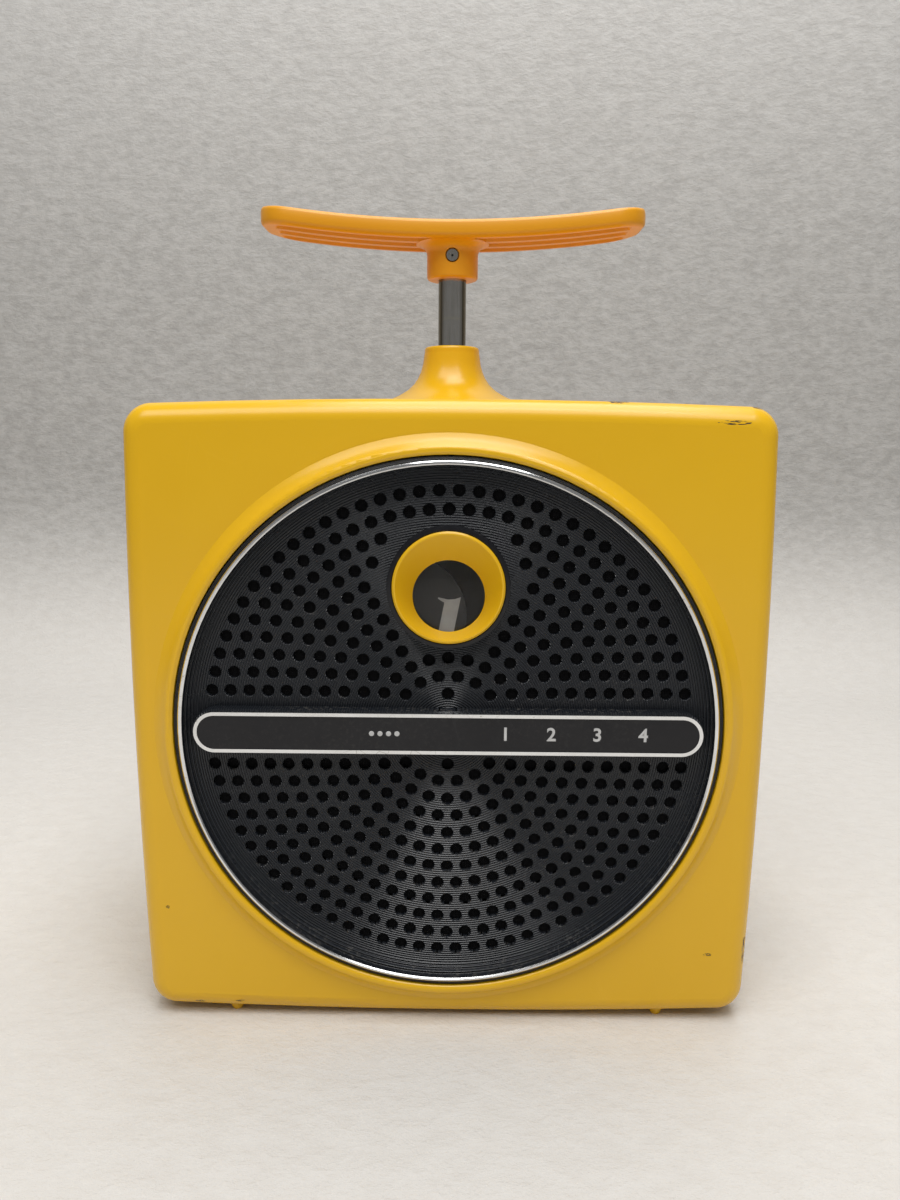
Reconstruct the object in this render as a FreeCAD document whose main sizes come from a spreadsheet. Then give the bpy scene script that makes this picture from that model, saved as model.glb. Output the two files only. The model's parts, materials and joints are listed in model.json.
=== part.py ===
import FreeCAD, Part
import math
import os
import re
import Sketcher

# Portable plunger-handle cartridge player, as a parametric assembly.
# Frame: +Z up, front towards -Y, origin under the plunger on the resting plane.
# Every length is in millimetres.  Each sub-part is one labelled object, written to parts/.

os.makedirs("parts", exist_ok=True)
doc = FreeCAD.newDocument("cartridge_player")
dims = doc.addObject("Spreadsheet::Sheet", "dims")

SIZES = {
    # moulded case: a crowned square block in two halves
    "case_width": 190.0,
    "case_height": 190.7,
    "side_crown": 1.54,
    "top_crown": 1.97,
    "corner_round": 8.5,
    "front_round": 6.0,
    "back_round": 4.0,
    "wall": 3.0,
    "front_depth": 78.0,
    "rear_depth": 37.0,
    "plunger_setback": 56.0,
    "foot_height": 1.0,
    "foot_radius": 2.35,
    "foot_tip": 1.6,
    "foot_spread": 67.0,
    "foot_inset": 6.0,
    # clearances
    "seat": 0.3,
    "slip": 0.05,
    # raised ring and sunk pan that take the loudspeaker grille
    "ring_drop": 1.55,
    "ring_margin": 7.5,
    "lip_proud": 3.0,
    "lip_slope": 3.7,
    "lip_land": 2.5,
    "pan_wall": 2.5,
    # grille disc, its rim, holes and name bar
    "trim_gap": 1.6,
    "trim_width": 1.2,
    "trim_depth": 1.6,
    "rim_width": 4.3,
    "field_overlap": 1.0,
    "grille_recess": 5.0,
    "grille_thick": 1.5,
    "hole_pitch": 5.48,
    "hole_radius": 1.8,
    "cloth_thick": 0.6,
    "bar_length": 150.0,
    "bar_height": 12.3,
    "bar_line": 1.05,
    "bar_thick": 1.4,
    "bar_margin": 3.4,
    # programme window
    "window_rise": 43.5,
    "collar_radius": 17.85,
    "bezel_radius": 16.3,
    "bezel_edge": 0.9,
    "lens_radius": 10.65,
    "lens_drop": 3.4,
    "lens_thick": 1.6,
    "lens_rise": 0.5,
    "lens_lip": 2.2,
    # loudspeaker
    "speaker_z": 61.0,
    "speaker_radius": 46.0,
    "cone_radius": 40.0,
    "basket_depth": 18.0,
    "basket_back": 22.0,
    "basket_sheet": 1.2,
    "magnet_radius": 24.0,
    "magnet_depth": 12.0,
    "coil_radius": 10.0,
    "pole_radius": 8.8,
    "cone_travel": 1.5,
    "speaker_screw": 0.8,
    "speaker_screw_inset": 1.6,
    # neck, plunger and handle
    "neck_height": 19.0,
    "neck_radius": 9.15,
    "neck_base": 19.0,
    "neck_sweep": 9.4,
    "bush_wall": 1.9,
    "bush_flange": 10.0,
    "bush_drop": 6.0,
    "tube_radius": 4.6,
    "tube_bore": 3.0,
    "tube_show": 21.5,
    "hub_radius": 8.4,
    "hub_height": 11.2,
    "hub_flare": 4.4,
    "hub_edge": 0.6,
    "hub_screw_rise": 6.6,
    "hub_screw": 1.2,
    "socket_depth": 12.0,
    "handle_length": 125.0,
    "handle_width": 26.0,
    "handle_thick": 6.0,
    "handle_bow": 400.0,
    "handle_round": 11.0,
    "groove_pitch": 3.2,
    "groove_width": 1.3,
    "groove_depth": 0.8,
    # programme-change works
    "index_x": -14.0,
    "index_drop": 11.3,
    "shaft_radius": 2.0,
    "pin_circle": 8.5,
    "pin_radius": 1.2,
    "disc_radius": 19.5,
    "cam_radius": 7.5,
    "cam_step": 0.8,
    "foot_block": 6.0,
    "foot_socket": 14.0,
    "pawl_pin_x": -1.5,
    "pawl_pin_rise": 18.0,
    "pawl_pin_radius": 1.2,
    # tape deck
    "cartridge_high": 101.6,
    "cartridge_thick": 21.5,
    "cartridge_slack": 2.4,
    "deck_y": 13.2,
    "deck_sheet": 1.5,
    "guide_sheet": 1.2,
    "guide_x": 21.0,
    "guide_low": 19.0,
    "deck_low": 7.0,
    "deck_high": 142.0,
    "post_radius": 3.4,
    "deck_screw": 1.1,
    "capstan_x": 16.0,
    "capstan_z": 38.0,
    "capstan_radius": 1.5,
    "flywheel_radius": 23.0,
    "flywheel_thick": 8.0,
    "motor_x": 66.0,
    "motor_z": 100.0,
    "motor_radius": 17.5,
    "motor_length": 28.0,
    "pulley_radius": 6.0,
    "belt_thick": 1.2,
    # controls, jacks and board
    "knob_radius": 11.0,
    "knob_depth": 8.0,
    "knob_z": 158.0,
    "knob_edge": 1.0,
    "cup_wall": 2.0,
    "well_gap": 1.5,
    "pot_neck": 3.5,
    "spindle_radius": 2.95,
    "volume_y": -26.0,
    "tone_y": 2.0,
    "jack_z": 150.0,
    "jack_radius": 3.0,
    "jack_bore": 1.8,
    "earphone_y": -6.0,
    "power_y": 8.0,
    "board_y": 44.0,
    "board_thick": 1.6,
    "board_width": 108.0,
    "board_margin": 17.0,
    "board_gap": 4.1,
    # battery bay for six large cells, three rows of two
    "cell_radius": 16.6,
    "cell_length": 61.5,
    "bay_x": -9.0,
    "bay_z": 7.5,
    "bay_sheet": 1.6,
    "cell_gap": 0.9,
    "bay_front": -10.0,
    # case screws
    "boss_radius": 4.0,
    "screw_radius": 1.5,
    "boss_inset": 9.0,
}
for row, (name, number_) in enumerate(SIZES.items(), 1):
    dims.set("A%d" % row, name)
    dims.set("B%d" % row, str(number_))
    dims.setAlias("B%d" % row, name)
doc.recompute()

# Places worked out from the sizes, each named once and bound to the sheet.
PLACES = {
    "front_y": "-plunger_setback",
    "ring_y": "front_y-lip_proud",
    "split_y": "front_y+front_depth",
    "back_y": "split_y+rear_depth",
    "bottom_z": "foot_height",
    "top_z": "foot_height+case_height",
    "mid_z": "foot_height+case_height/2",
    "side_x": "case_width/2",
    "ring_z": "mid_z-ring_drop",
    "lip_foot": "min(case_width; case_height)/2-ring_margin",
    "lip_crest": "lip_foot-lip_slope",
    "pan_radius": "lip_crest-lip_land",
    "trim_radius": "pan_radius-trim_gap",
    "rim_inner": "trim_radius-rim_width",
    "grille_y": "ring_y+grille_recess",
    "grille_back": "grille_y+grille_thick",
    "cloth_y": "grille_back",
    "pan_y": "grille_back+cloth_thick+seat",
    "pan_back": "pan_y+pan_wall",
    "window_z": "ring_z+window_rise",
    "lens_z": "window_z-lens_drop",
    "lens_y": "pan_back-0.6-lens_thick",
    "neck_top": "top_z+neck_height",
    "neck_bore": "tube_radius+slip+bush_wall+slip",
    "hub_z": "neck_top+tube_show",
    "handle_z": "hub_z+hub_height+handle_thick",
    "speaker_y": "pan_back+seat",
    "basket_y": "speaker_y+basket_depth",
    "magnet_y": "basket_y+basket_sheet",
    "magnet_back": "magnet_y+magnet_depth",
    "guide_in": "(cartridge_thick+cartridge_slack)/2",
    "guide_out": "guide_in+guide_sheet",
    "guide_top": "guide_low+cartridge_high+cartridge_slack+2",
    "guide_end": "side_x-6.4",
    "index_z": "window_z-index_drop",
    "deck_back": "deck_y+deck_sheet",
    "deck_end": "side_x-7",
    "deck_step": "side_x-15",
    "wheel_y": "deck_back+2",
    "pulley_y": "wheel_y",
    "motor_y": "pulley_y+flywheel_thick+1.5",
    "bay_wide": "4*cell_radius+3*cell_gap",
    "bay_high": "6*cell_radius+4*cell_gap",
    "bay_left": "bay_x-bay_wide-2*bay_sheet",
    "bay_top": "bay_z+bay_high+2*bay_sheet",
    "knob_face": "side_x-side_crown-0.06",
    "boss_x": "side_x-side_crown-wall-boss_radius-0.6",
    "boss_low": "bottom_z+top_crown+boss_inset",
    "boss_high": "top_z-top_crown-boss_inset",
    "foot_top": "index_z+25",
    "board_left": "board_margin-side_x",
    "board_right": "board_left+board_width",
    "board_low": "bay_top+board_gap",
    "board_high": "top_z-7.7",
}
places = doc.addObject("App::VarSet", "places")
NAMES = re.compile(r"[A-Za-z_][A-Za-z_0-9]*")


def bound(text):
    """The text of an expression with each size and place pointed at the object that holds it."""
    def owner(match):
        word = match.group(0)
        if word in SIZES:
            return "dims." + word
        if word in PLACES:
            return "places." + word
        return word
    return NAMES.sub(owner, str(text))


for name, text in PLACES.items():
    places.addProperty("App::PropertyFloat", name)
    places.setExpression(name, bound(text))
doc.recompute()
reckoner = doc.addObject("App::VarSet", "reckoner")
reckoner.addProperty("App::PropertyFloat", "answer")


def number(text):
    """The present value of an expression, for the first guess of a sketch."""
    reckoner.setExpression("answer", bound(text))
    reckoner.recompute()
    return reckoner.answer


def bind(thing, prop, text):
    thing.setExpression(prop, bound(text))


def put(thing, x, y, z):
    bind(thing, "Placement.Base.x", x)
    bind(thing, "Placement.Base.y", y)
    bind(thing, "Placement.Base.z", z)


ALONG = {
    "X": FreeCAD.Rotation(FreeCAD.Vector(0, 1, 0), 90),
    "Y": FreeCAD.Rotation(FreeCAD.Vector(1, 0, 0), -90),
    "Z": FreeCAD.Rotation(),
}


def box(name, x, y, z):
    """A block between two expressions each way."""
    block = doc.addObject("Part::Box", name)
    for prop, (low, high) in (("Length", x), ("Width", y), ("Height", z)):
        bind(block, prop, "(%s)-(%s)" % (high, low))
    put(block, x[0], y[0], z[0])
    return block


def rod(name, axis, start, radius, length):
    """A cylinder that starts at a point and runs along +axis."""
    cylinder = doc.addObject("Part::Cylinder", name)
    bind(cylinder, "Radius", radius)
    bind(cylinder, "Height", length)
    cylinder.Placement.Rotation = ALONG[axis]
    put(cylinder, *start)
    return cylinder


def taper(name, axis, start, first, last, length):
    """A cone frustum that starts at a point and runs along +axis."""
    cone = doc.addObject("Part::Cone", name)
    bind(cone, "Radius1", first)
    bind(cone, "Radius2", last)
    bind(cone, "Height", length)
    cone.Placement.Rotation = ALONG[axis]
    put(cone, *start)
    return cone


def fuse(name, *pieces):
    joined = doc.addObject("Part::MultiFuse", name)
    joined.Shapes = list(pieces)
    return joined


def cut(name, base, *tools):
    left = doc.addObject("Part::Cut", name)
    left.Base = base
    left.Tool = tools[0] if len(tools) == 1 else fuse(name + "_tools", *tools)
    return left


def group(name, *pieces):
    """Separate solids of one node."""
    together = doc.addObject("Part::Compound", name)
    together.Links = list(pieces)
    return together


def plane(body, role):
    return [part for part in body.Origin.OriginFeatures if part.Role == role][0]


def loop(body, name, role, offset, corners):
    """A closed sketch.  A corner is (x, y) or (x, y, radius): the edge that leaves it is then an
    arc, with its centre to the left of the way round when the radius is positive."""
    sketch = body.newObject("Sketcher::SketchObject", name)
    sketch.AttachmentSupport = [(plane(body, role), "")]
    sketch.MapMode = "FlatFace"
    for prop, text in zip("xyz", offset):
        bind(sketch, "AttachmentOffset.Base." + prop, text)
    points = [(number(corner[0]), number(corner[1])) for corner in corners]
    ends = []
    for index, corner in enumerate(corners):
        first = points[index]
        last = points[(index + 1) % len(points)]
        if len(corner) == 2:
            line = Part.LineSegment(FreeCAD.Vector(*first, 0), FreeCAD.Vector(*last, 0))
            ends.append((sketch.addGeometry(line, False), 1, 2))
            continue
        bend = corner[2]
        turn = -1 if bend.startswith("-") else 1
        radius = number(bend.lstrip("-"))
        across = (last[0] - first[0], last[1] - first[1])
        chord = math.hypot(*across)
        rise = turn * math.sqrt(radius ** 2 - chord ** 2 / 4)
        centre = ((first[0] + last[0]) / 2 - across[1] / chord * rise,
                  (first[1] + last[1]) / 2 + across[0] / chord * rise)
        circle = Part.Circle(FreeCAD.Vector(*centre, 0), FreeCAD.Vector(0, 0, 1), radius)
        angles = [math.atan2(point[1] - centre[1], point[0] - centre[0]) for point in (first, last)]
        if turn < 0:
            angles.reverse()
        arc = sketch.addGeometry(Part.ArcOfCircle(circle, angles[0], angles[1]), False)
        ends.append((arc, 1, 2) if turn > 0 else (arc, 2, 1))
        fixed = sketch.addConstraint(Sketcher.Constraint("Radius", arc, radius))
        sketch.renameConstraint(fixed, "bend%d" % index)
        bind(sketch, "Constraints.bend%d" % index, bend.lstrip("-"))
    for index, (edge, start, stop) in enumerate(ends):
        following = ends[(index + 1) % len(ends)]
        sketch.addConstraint(Sketcher.Constraint("Coincident", edge, stop, following[0], following[1]))
        for kind, letter, side in (("DistanceX", "u", 0), ("DistanceY", "v", 1)):
            place = Sketcher.Constraint(kind, -1, 1, edge, start, points[index][side])
            label = "%s%d" % (letter, index)
            sketch.renameConstraint(sketch.addConstraint(place), label)
            bind(sketch, "Constraints." + label, corners[index][side])
    return sketch


def slab(name, role, offset, corners, length, reverse=False, middle=False):
    """A body padded from one closed outline."""
    body = doc.addObject("PartDesign::Body", name)
    sketch = loop(body, name + "_outline", role, offset, corners)
    pad = body.newObject("PartDesign::Pad", name + "_pad")
    pad.Profile = sketch
    bind(pad, "Length", length)
    pad.Reversed = reverse
    pad.Midplane = middle
    return body


def turned(name, axis, centre, corners):
    """A body turned about an axis.  Corners are (place along the axis, radius[, bend])."""
    body = doc.addObject("PartDesign::Body", name)
    if axis == "Z":
        flipped = []
        for corner in corners:
            bend = [("" if b.startswith("-") else "-") + b.lstrip("-") for b in corner[2:]]
            flipped.append((corner[1], corner[0], *bend))
        offset = (centre[0], "0", "-(%s)" % centre[1])
        sketch = loop(body, name + "_section", "XZ_Plane", offset, flipped)
        line = "V_Axis"
    elif axis == "Y":
        sketch = loop(body, name + "_section", "YZ_Plane", ("0", centre[1], centre[0]), corners)
        line = "H_Axis"
    else:
        offset = ("0", centre[1], "-(%s)" % centre[0])
        sketch = loop(body, name + "_section", "XZ_Plane", offset, corners)
        line = "H_Axis"
    turn = body.newObject("PartDesign::Revolution", name + "_turn")
    turn.Profile = sketch
    turn.ReferenceAxis = (sketch, [line])
    turn.Angle = 360
    return body


def soften(body, name, radius, picks):
    """A fillet on the edges that picks() chooses."""
    doc.recompute()
    tip = body.Tip
    edges = ["Edge%d" % (i + 1) for i, edge in enumerate(tip.Shape.Edges) if picks(edge)]
    fillet = body.newObject("PartDesign::Fillet", name)
    fillet.Base = (tip, edges)
    bind(fillet, "Radius", radius)
    return body


def pipe(name, axis, start, outer, inner, length):
    """A plain round tube."""
    hole = rod(name + "_hole", axis, start, inner, length)
    return cut(name, rod(name + "_outside", axis, start, outer, length), hole)


PIECES = {}


def piece(node, thing):
    """Names a finished sub-part, whose Label becomes its file's name."""
    thing.Label = node
    PIECES[node] = thing
    return thing


# ---------------------------------------------------------------- case halves

def crowned_block(name, inset, start_y, end_y, corner):
    """A block with gently bowed sides, rounded along its four long corners."""
    half_x = "side_x-side_crown-%s" % inset
    half_z = "case_height/2-top_crown-%s" % inset
    side_bend = "((%s)^2+side_crown^2)/(2*side_crown)" % half_z
    top_bend = "((%s)^2+top_crown^2)/(2*top_crown)" % half_x
    low = "mid_z-(%s)" % half_z
    high = "mid_z+(%s)" % half_z
    corners = [
        ("-(%s)" % half_x, low, top_bend),
        (half_x, low, side_bend),
        (half_x, high, top_bend),
        ("-(%s)" % half_x, high, side_bend),
    ]
    length = "(%s)-(%s)" % (end_y, start_y)
    body = slab(name, "XZ_Plane", ("0", "0", "-(%s)" % start_y), corners, length, reverse=True)

    def long_corner(edge):
        ends = [vertex.Point for vertex in edge.Vertexes]
        return len(ends) == 2 and abs(ends[0].y - ends[1].y) > 1 and abs(ends[0].x - ends[1].x) < 0.01
    return soften(body, name + "_corners", corner, long_corner)


def at_y(text):
    """Chooses the edges that lie in one plane across Y."""
    place = number(text)

    def flat(edge):
        bounds = edge.BoundBox
        return abs(bounds.YMin - place) < 0.01 and abs(bounds.YMax - place) < 0.01
    return flat


def pan_disc():
    """Raised ring swept up from the front face, and the sunk pan inside it, in one section."""
    return turned("pan", "Y", ("0", "ring_z"), [
        ("pan_back", "0"),
        ("pan_back", "pan_radius+pan_wall"),
        ("front_y+wall/2", "pan_radius+pan_wall"),
        ("front_y+wall/2", "lip_foot"),
        ("front_y+0.05", "lip_foot", "-lip_proud*2.9"),
        ("ring_y+0.5", "lip_crest", "lip_proud*0.4"),
        ("ring_y", "lip_crest-0.9"),
        ("ring_y", "pan_radius+0.9", "lip_proud*0.4"),
        ("ring_y+0.6", "pan_radius"),
        ("pan_y", "pan_radius"),
        ("pan_y", "0"),
    ])


def neck():
    """Flared neck that the plunger slides through."""
    return turned("neck", "Z", ("0", "0"), [
        ("top_z-wall", "neck_bore"),
        ("top_z-wall", "neck_base"),
        ("top_z-0.1", "neck_base", "neck_sweep"),
        ("top_z-0.1+neck_sweep", "neck_base-neck_sweep"),
        ("neck_top-1", "neck_radius", "-1"),
        ("neck_top", "neck_radius-1"),
        ("neck_top", "neck_bore"),
    ])


def foot(name, x, y):
    """Moulded nub that the case stands on."""
    low = taper(name + "_tip", "Z", (x, y, "0"), "foot_tip", "foot_radius", "foot_height+1")
    return fuse(name, low, rod(name + "_root", "Z", (x, y, "foot_height+1"), "foot_radius", "wall+0.5"))


def screw_bosses(prefix, start_y, length):
    """Tubes for the four long case screws, each tied to the side wall by a rib."""
    made = []
    for side in ("-1", "1"):
        for level in ("boss_low", "boss_high"):
            name = "%s_boss_%s_%s" % (prefix, "left" if side == "-1" else "right", level[5:])
            tube = rod(name, "Y", ("%s*boss_x" % side, start_y, level), "boss_radius", length)
            edges = sorted(("%s*boss_x" % side, "%s*(boss_x+boss_radius+2)" % side), key=number)
            rib = box(name + "_rib", edges, (start_y, "%s+%s" % (start_y, length)),
                      ("%s-1" % level, "%s+1" % level))
            made += [tube, rib]
    return made


def screw_holes(prefix, start_y, length, radius):
    return [rod("%s_hole%d" % (prefix, i), "Y", ("%s*boss_x" % side, start_y, level), radius, length)
            for i, (side, level) in enumerate((s, v) for s in ("-1", "1") for v in ("boss_low", "boss_high"))]


# Posts that carry the deck: across, up, and where each one springs from.
DECK_POSTS = [
    ("6", "deck_low+4", "pan_back-1"),
    ("deck_step-5", "deck_low+5", "front_y+wall-0.5"),
    ("deck_end-6", "deck_high-6", "front_y+wall-0.5"),
    ("guide_x+1", "deck_high-6", "pan_back-1"),
]


def speaker_screw_places():
    """Centres of the four screws round the loudspeaker's flange."""
    reach = "(speaker_radius-speaker_screw_inset)"
    angles = [math.radians(45 + 90 * i) for i in range(4)]
    return [("%.6f*%s" % (math.cos(angle), reach), "speaker_z+%.6f*%s" % (math.sin(angle), reach))
            for angle in angles]


def speaker_screw_holes(prefix, start_y, length):
    return [rod("%s_speaker_hole%d" % (prefix, i), "Y", (x, start_y, z), "speaker_screw+0.1", length)
            for i, (x, z) in enumerate(speaker_screw_places())]


def front_housing():
    outside = crowned_block("front_outside", "0", "front_y", "split_y", "corner_round")
    soften(outside, "front_edge", "front_round", at_y("front_y"))
    inside = crowned_block("front_inside", "wall", "front_y+wall", "split_y+1", "corner_round-wall")
    sinking = rod("pan_clearance", "Y", ("0", "front_y-1", "ring_z"), "pan_radius+1", "wall+2")
    shell = cut("front_shell", outside, inside, sinking)
    added = [pan_disc(), neck()]
    added += screw_bosses("front", "front_y+wall-0.5", "front_depth-wall+0.5")
    for i, (x, z, start) in enumerate(DECK_POSTS):
        added.append(rod("deck_post%d" % i, "Y", (x, start, z), "post_radius", "deck_y-(%s)" % start))
    added.append(rod("index_boss", "Y", ("index_x", "pan_back-1", "index_z"), "shaft_radius+2", "3.4"))
    for side in ("-1", "1"):
        name = "front_foot_left" if side == "-1" else "front_foot_right"
        added.append(foot(name, "%s*foot_spread" % side, "front_y+foot_inset"))
    for name, y in (("volume", "volume_y"), ("tone", "tone_y")):
        added.append(rod(name + "_cup", "X", ("side_x-knob_depth-6", y, "knob_z"),
                         "knob_radius+well_gap+cup_wall", "knob_depth+4"))
    filled = fuse("front_filled", shell, *added)
    removed = [
        rod("speaker_opening", "Y", ("0", "pan_y-1", "speaker_z"), "cone_radius", "pan_wall+2"),
        rod("window_opening", "Y", ("0", "pan_y-1", "lens_z"), "lens_radius+lens_lip+0.2", "pan_wall+2"),
        rod("neck_opening", "Z", ("0", "0", "top_z-wall-1"), "neck_bore", "neck_height+wall+2"),
        rod("index_hole", "Y", ("index_x", "pan_back+0.2", "index_z"), "shaft_radius+slip", "5"),
        box("slot_opening", ("side_x-9", "side_x+2"), ("-guide_in-3.2", "guide_in+3.2"),
            ("guide_low-3.2", "guide_top+3.2")),
    ]
    for name, y in (("volume", "volume_y"), ("tone", "tone_y")):
        removed.append(rod(name + "_well", "X", ("side_x-knob_depth-1.2", y, "knob_z"),
                           "knob_radius+well_gap", "knob_depth+6"))
        removed.append(rod(name + "_bush_hole", "X", ("side_x-knob_depth-8", y, "knob_z"),
                           "pot_neck+seat/3", "knob_depth+6"))
    for name, y in (("earphone", "earphone_y"), ("power", "power_y")):
        removed.append(rod(name + "_hole", "X", ("-side_x-1", y, "jack_z"), "jack_radius+slip", "wall+4"))
    removed += screw_holes("front", "front_y+wall+6", "front_depth-wall-5.5", "screw_radius-0.25")
    removed += speaker_screw_holes("pan", "speaker_y-2.2", "3")
    for i, (x, z, _) in enumerate(DECK_POSTS):
        removed.append(rod("deck_post_hole%d" % i, "Y", (x, "deck_y-8", z), "deck_screw+0.1", "9"))
    piece("front_housing", cut("front_housing", filled, *removed))


def bay_span(margin):
    """Width and height of the battery bay's way out, drawn in by a margin."""
    return (("bay_left+bay_sheet+(%s)" % margin, "bay_x-bay_sheet-(%s)" % margin),
            ("bay_z+bay_sheet+(%s)" % margin, "bay_top-bay_sheet-(%s)" % margin))


def rear_housing():
    outside = crowned_block("rear_outside", "0", "split_y", "back_y", "corner_round")
    soften(outside, "rear_edge", "back_round", at_y("back_y"))
    inside = crowned_block("rear_inside", "wall", "split_y-1", "back_y-wall", "corner_round-wall")
    shell = cut("rear_shell", outside, inside)
    added = screw_bosses("rear", "split_y", "rear_depth-wall+0.5")
    for side in ("-1", "1"):
        name = "rear_foot_left" if side == "-1" else "rear_foot_right"
        added.append(foot(name, "%s*foot_spread" % side, "back_y-foot_inset"))
    for i, (x, z) in enumerate(BOARD_POSTS):
        added.append(rod("board_post%d" % i, "Y", (x, "board_y+board_thick", z), "3",
                         "back_y-wall+0.5-board_y-board_thick"))
    filled = fuse("rear_filled", shell, *added)
    removed = screw_holes("rear", "split_y-1", "rear_depth+2", "screw_radius+0.2")
    removed += screw_holes("rear_head", "back_y-5", "6", "screw_radius*2+0.3")
    way_x, way_z = bay_span("0")
    removed.append(box("battery_opening", way_x, ("back_y-wall-1", "back_y+1"), way_z))
    lip_x, lip_z = bay_span("-2")
    removed.append(box("cover_rebate", lip_x, ("back_y-1.6", "back_y+1"), lip_z))
    piece("rear_housing", cut("rear_housing", filled, *removed))


BOARD_POSTS = [(x, z) for x in ("board_left+6", "board_right-6") for z in ("board_low+6", "board_high-6")]


def battery_cover():
    """Lift-off door with a thumb recess and two hooked tabs along its foot."""
    lip_x, lip_z = bay_span("-2+seat")
    plate = box("cover_plate", lip_x, ("back_y-1.6+seat/2", "back_y"), lip_z)
    way_x, way_z = bay_span("seat+0.3")
    plug = box("cover_plug", way_x, ("back_y-3.4", "back_y-1.2"), way_z)
    middle = "(bay_left+bay_x)/2"
    recess = rod("cover_thumb", "Y", (middle, "back_y-1", "bay_top-13"), "8", "3")
    ribs = [box("cover_rib%d" % i, ("%s-16" % middle, "%s+16" % middle), ("back_y-0.6", "back_y+1"),
                ("bay_z+%d" % (14 + 3 * i), "bay_z+%d" % (15 + 3 * i))) for i in range(4)]
    piece("battery_cover", cut("battery_cover", fuse("cover_solid", plate, plug), recess, *ribs))


def case_screws():
    """Four long screws that draw the rear housing onto the front one."""
    made = []
    for i, (side, level) in enumerate((s, v) for s in ("-1", "1") for v in ("boss_low", "boss_high")):
        shank = rod("screw_shank%d" % i, "Y", ("%s*boss_x" % side, "split_y-22", level),
                    "screw_radius-0.3", "rear_depth+17.2")
        head = rod("screw_head%d" % i, "Y", ("%s*boss_x" % side, "back_y-5", level), "screw_radius*2", "2.2")
        made.append(fuse("screw%d" % i, shank, head))
    piece("case_screws", group("case_screws", *made))


# ---------------------------------------------------------------- grille and window

def grille_holes():
    """Centres of the holes: ring k carries 6k holes, one of them always at 30 degrees."""
    pitch = number("hole_pitch")
    window = number("window_rise")
    clear_of_window = number("collar_radius+3.4")
    clear_of_bar = number("bar_height/2+bar_margin")
    centres = []
    rings = int(number("(rim_inner-field_overlap-hole_radius)/hole_pitch"))
    for ring in range(1, rings + 1):
        for step in range(6 * ring):
            angle = math.radians(30 + 60 * step / ring)
            x = ring * pitch * math.sin(angle)
            z = ring * pitch * math.cos(angle)
            if abs(z) > clear_of_bar and math.hypot(x, z - window) > clear_of_window:
                centres.append((x, z))
    return centres


def speaker_grille():
    """Moulded disc: dished rim, perforated field, window collar and raised bed for the name bar."""
    rim = turned("grille_rim", "Y", ("0", "ring_z"), [
        ("grille_back", "rim_inner-field_overlap-0.4"),
        ("grille_back", "pan_radius-seat"),
        ("ring_y+0.7", "pan_radius-seat"),
        ("ring_y+0.7", "trim_radius+slip"),
        ("ring_y+trim_depth", "trim_radius+slip"),
        ("ring_y+trim_depth", "trim_radius-trim_width-slip"),
        ("ring_y+0.5", "trim_radius-trim_width-slip", "-grille_recess"),
        ("grille_y", "rim_inner"),
        ("grille_y", "rim_inner-field_overlap-0.4"),
    ])
    field_edge = Part.Wire(Part.makeCircle(number("rim_inner-field_overlap"), FreeCAD.Vector(0, 0, 0),
                                           FreeCAD.Vector(0, 1, 0)))
    radius = number("hole_radius")
    wires = [field_edge]
    for x, z in grille_holes():
        # drawn four-sided, corners on the bore, so that the disc stays light
        turn = math.atan2(z, x)
        ring = [FreeCAD.Vector(x + radius * math.cos(turn + quarter * math.pi / 2), 0,
                               z + radius * math.sin(turn + quarter * math.pi / 2)) for quarter in range(5)]
        wires.append(Part.makePolygon(ring))
    sheet = Part.Face(wires).extrude(FreeCAD.Vector(0, number("grille_thick"), 0))
    field = doc.addObject("Part::Feature", "grille_field")
    field.Shape = sheet
    put(field, "0", "grille_y", "ring_z")
    collar = rod("window_collar", "Y", ("0", "ring_y+0.5", "window_z"), "collar_radius",
                 "grille_back-ring_y-0.5")
    bed = stadium("name_bed", "ring_y+bar_thick", "grille_y+0.5", "0.6")
    solid = fuse("grille_solid", rim, field, collar, bed)
    opening = rod("bezel_opening", "Y", ("0", "ring_y", "window_z"), "bezel_radius+slip", "grille_recess+4")
    piece("speaker_grille", cut("speaker_grille", solid, opening))


def stadium(name, start_y, end_y, grow):
    """A round-ended bar across the middle of the grille, grown or drawn in all round."""
    high = "(bar_height/2+(%s))" % grow
    reach = "(bar_length/2-bar_height/2)"
    corners = [
        ("-%s" % reach, "ring_z-%s" % high),
        (reach, "ring_z-%s" % high, high),
        ("%s+%s" % (reach, high), "ring_z", high),
        (reach, "ring_z+%s" % high),
        ("-%s" % reach, "ring_z+%s" % high, high),
        ("-(%s+%s)" % (reach, high), "ring_z", high),
    ]
    return slab(name, "XZ_Plane", ("0", "0", "-(%s)" % start_y), corners,
                "(%s)-(%s)" % (end_y, start_y), reverse=True)


def name_bar():
    piece("name_bar", stadium("name_bar", "ring_y+0.3", "ring_y+bar_thick", "-bar_line-slip"))
    line = stadium("bar_line_outer", "ring_y", "ring_y+bar_thick", "0")
    middle = stadium("bar_line_inner", "ring_y-1", "ring_y+bar_thick+1", "-bar_line")
    piece("name_bar_trim", cut("name_bar_trim", line, middle))


def grille_trim_ring():
    piece("grille_trim_ring", turned("grille_trim_ring", "Y", ("0", "ring_z"), [
        ("ring_y+trim_depth", "trim_radius-trim_width"),
        ("ring_y+trim_depth", "trim_radius"),
        ("ring_y+0.3", "trim_radius"),
        ("ring_y", "trim_radius-0.35"),
        ("ring_y", "trim_radius-trim_width+0.35"),
        ("ring_y+0.3", "trim_radius-trim_width"),
    ]))


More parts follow.
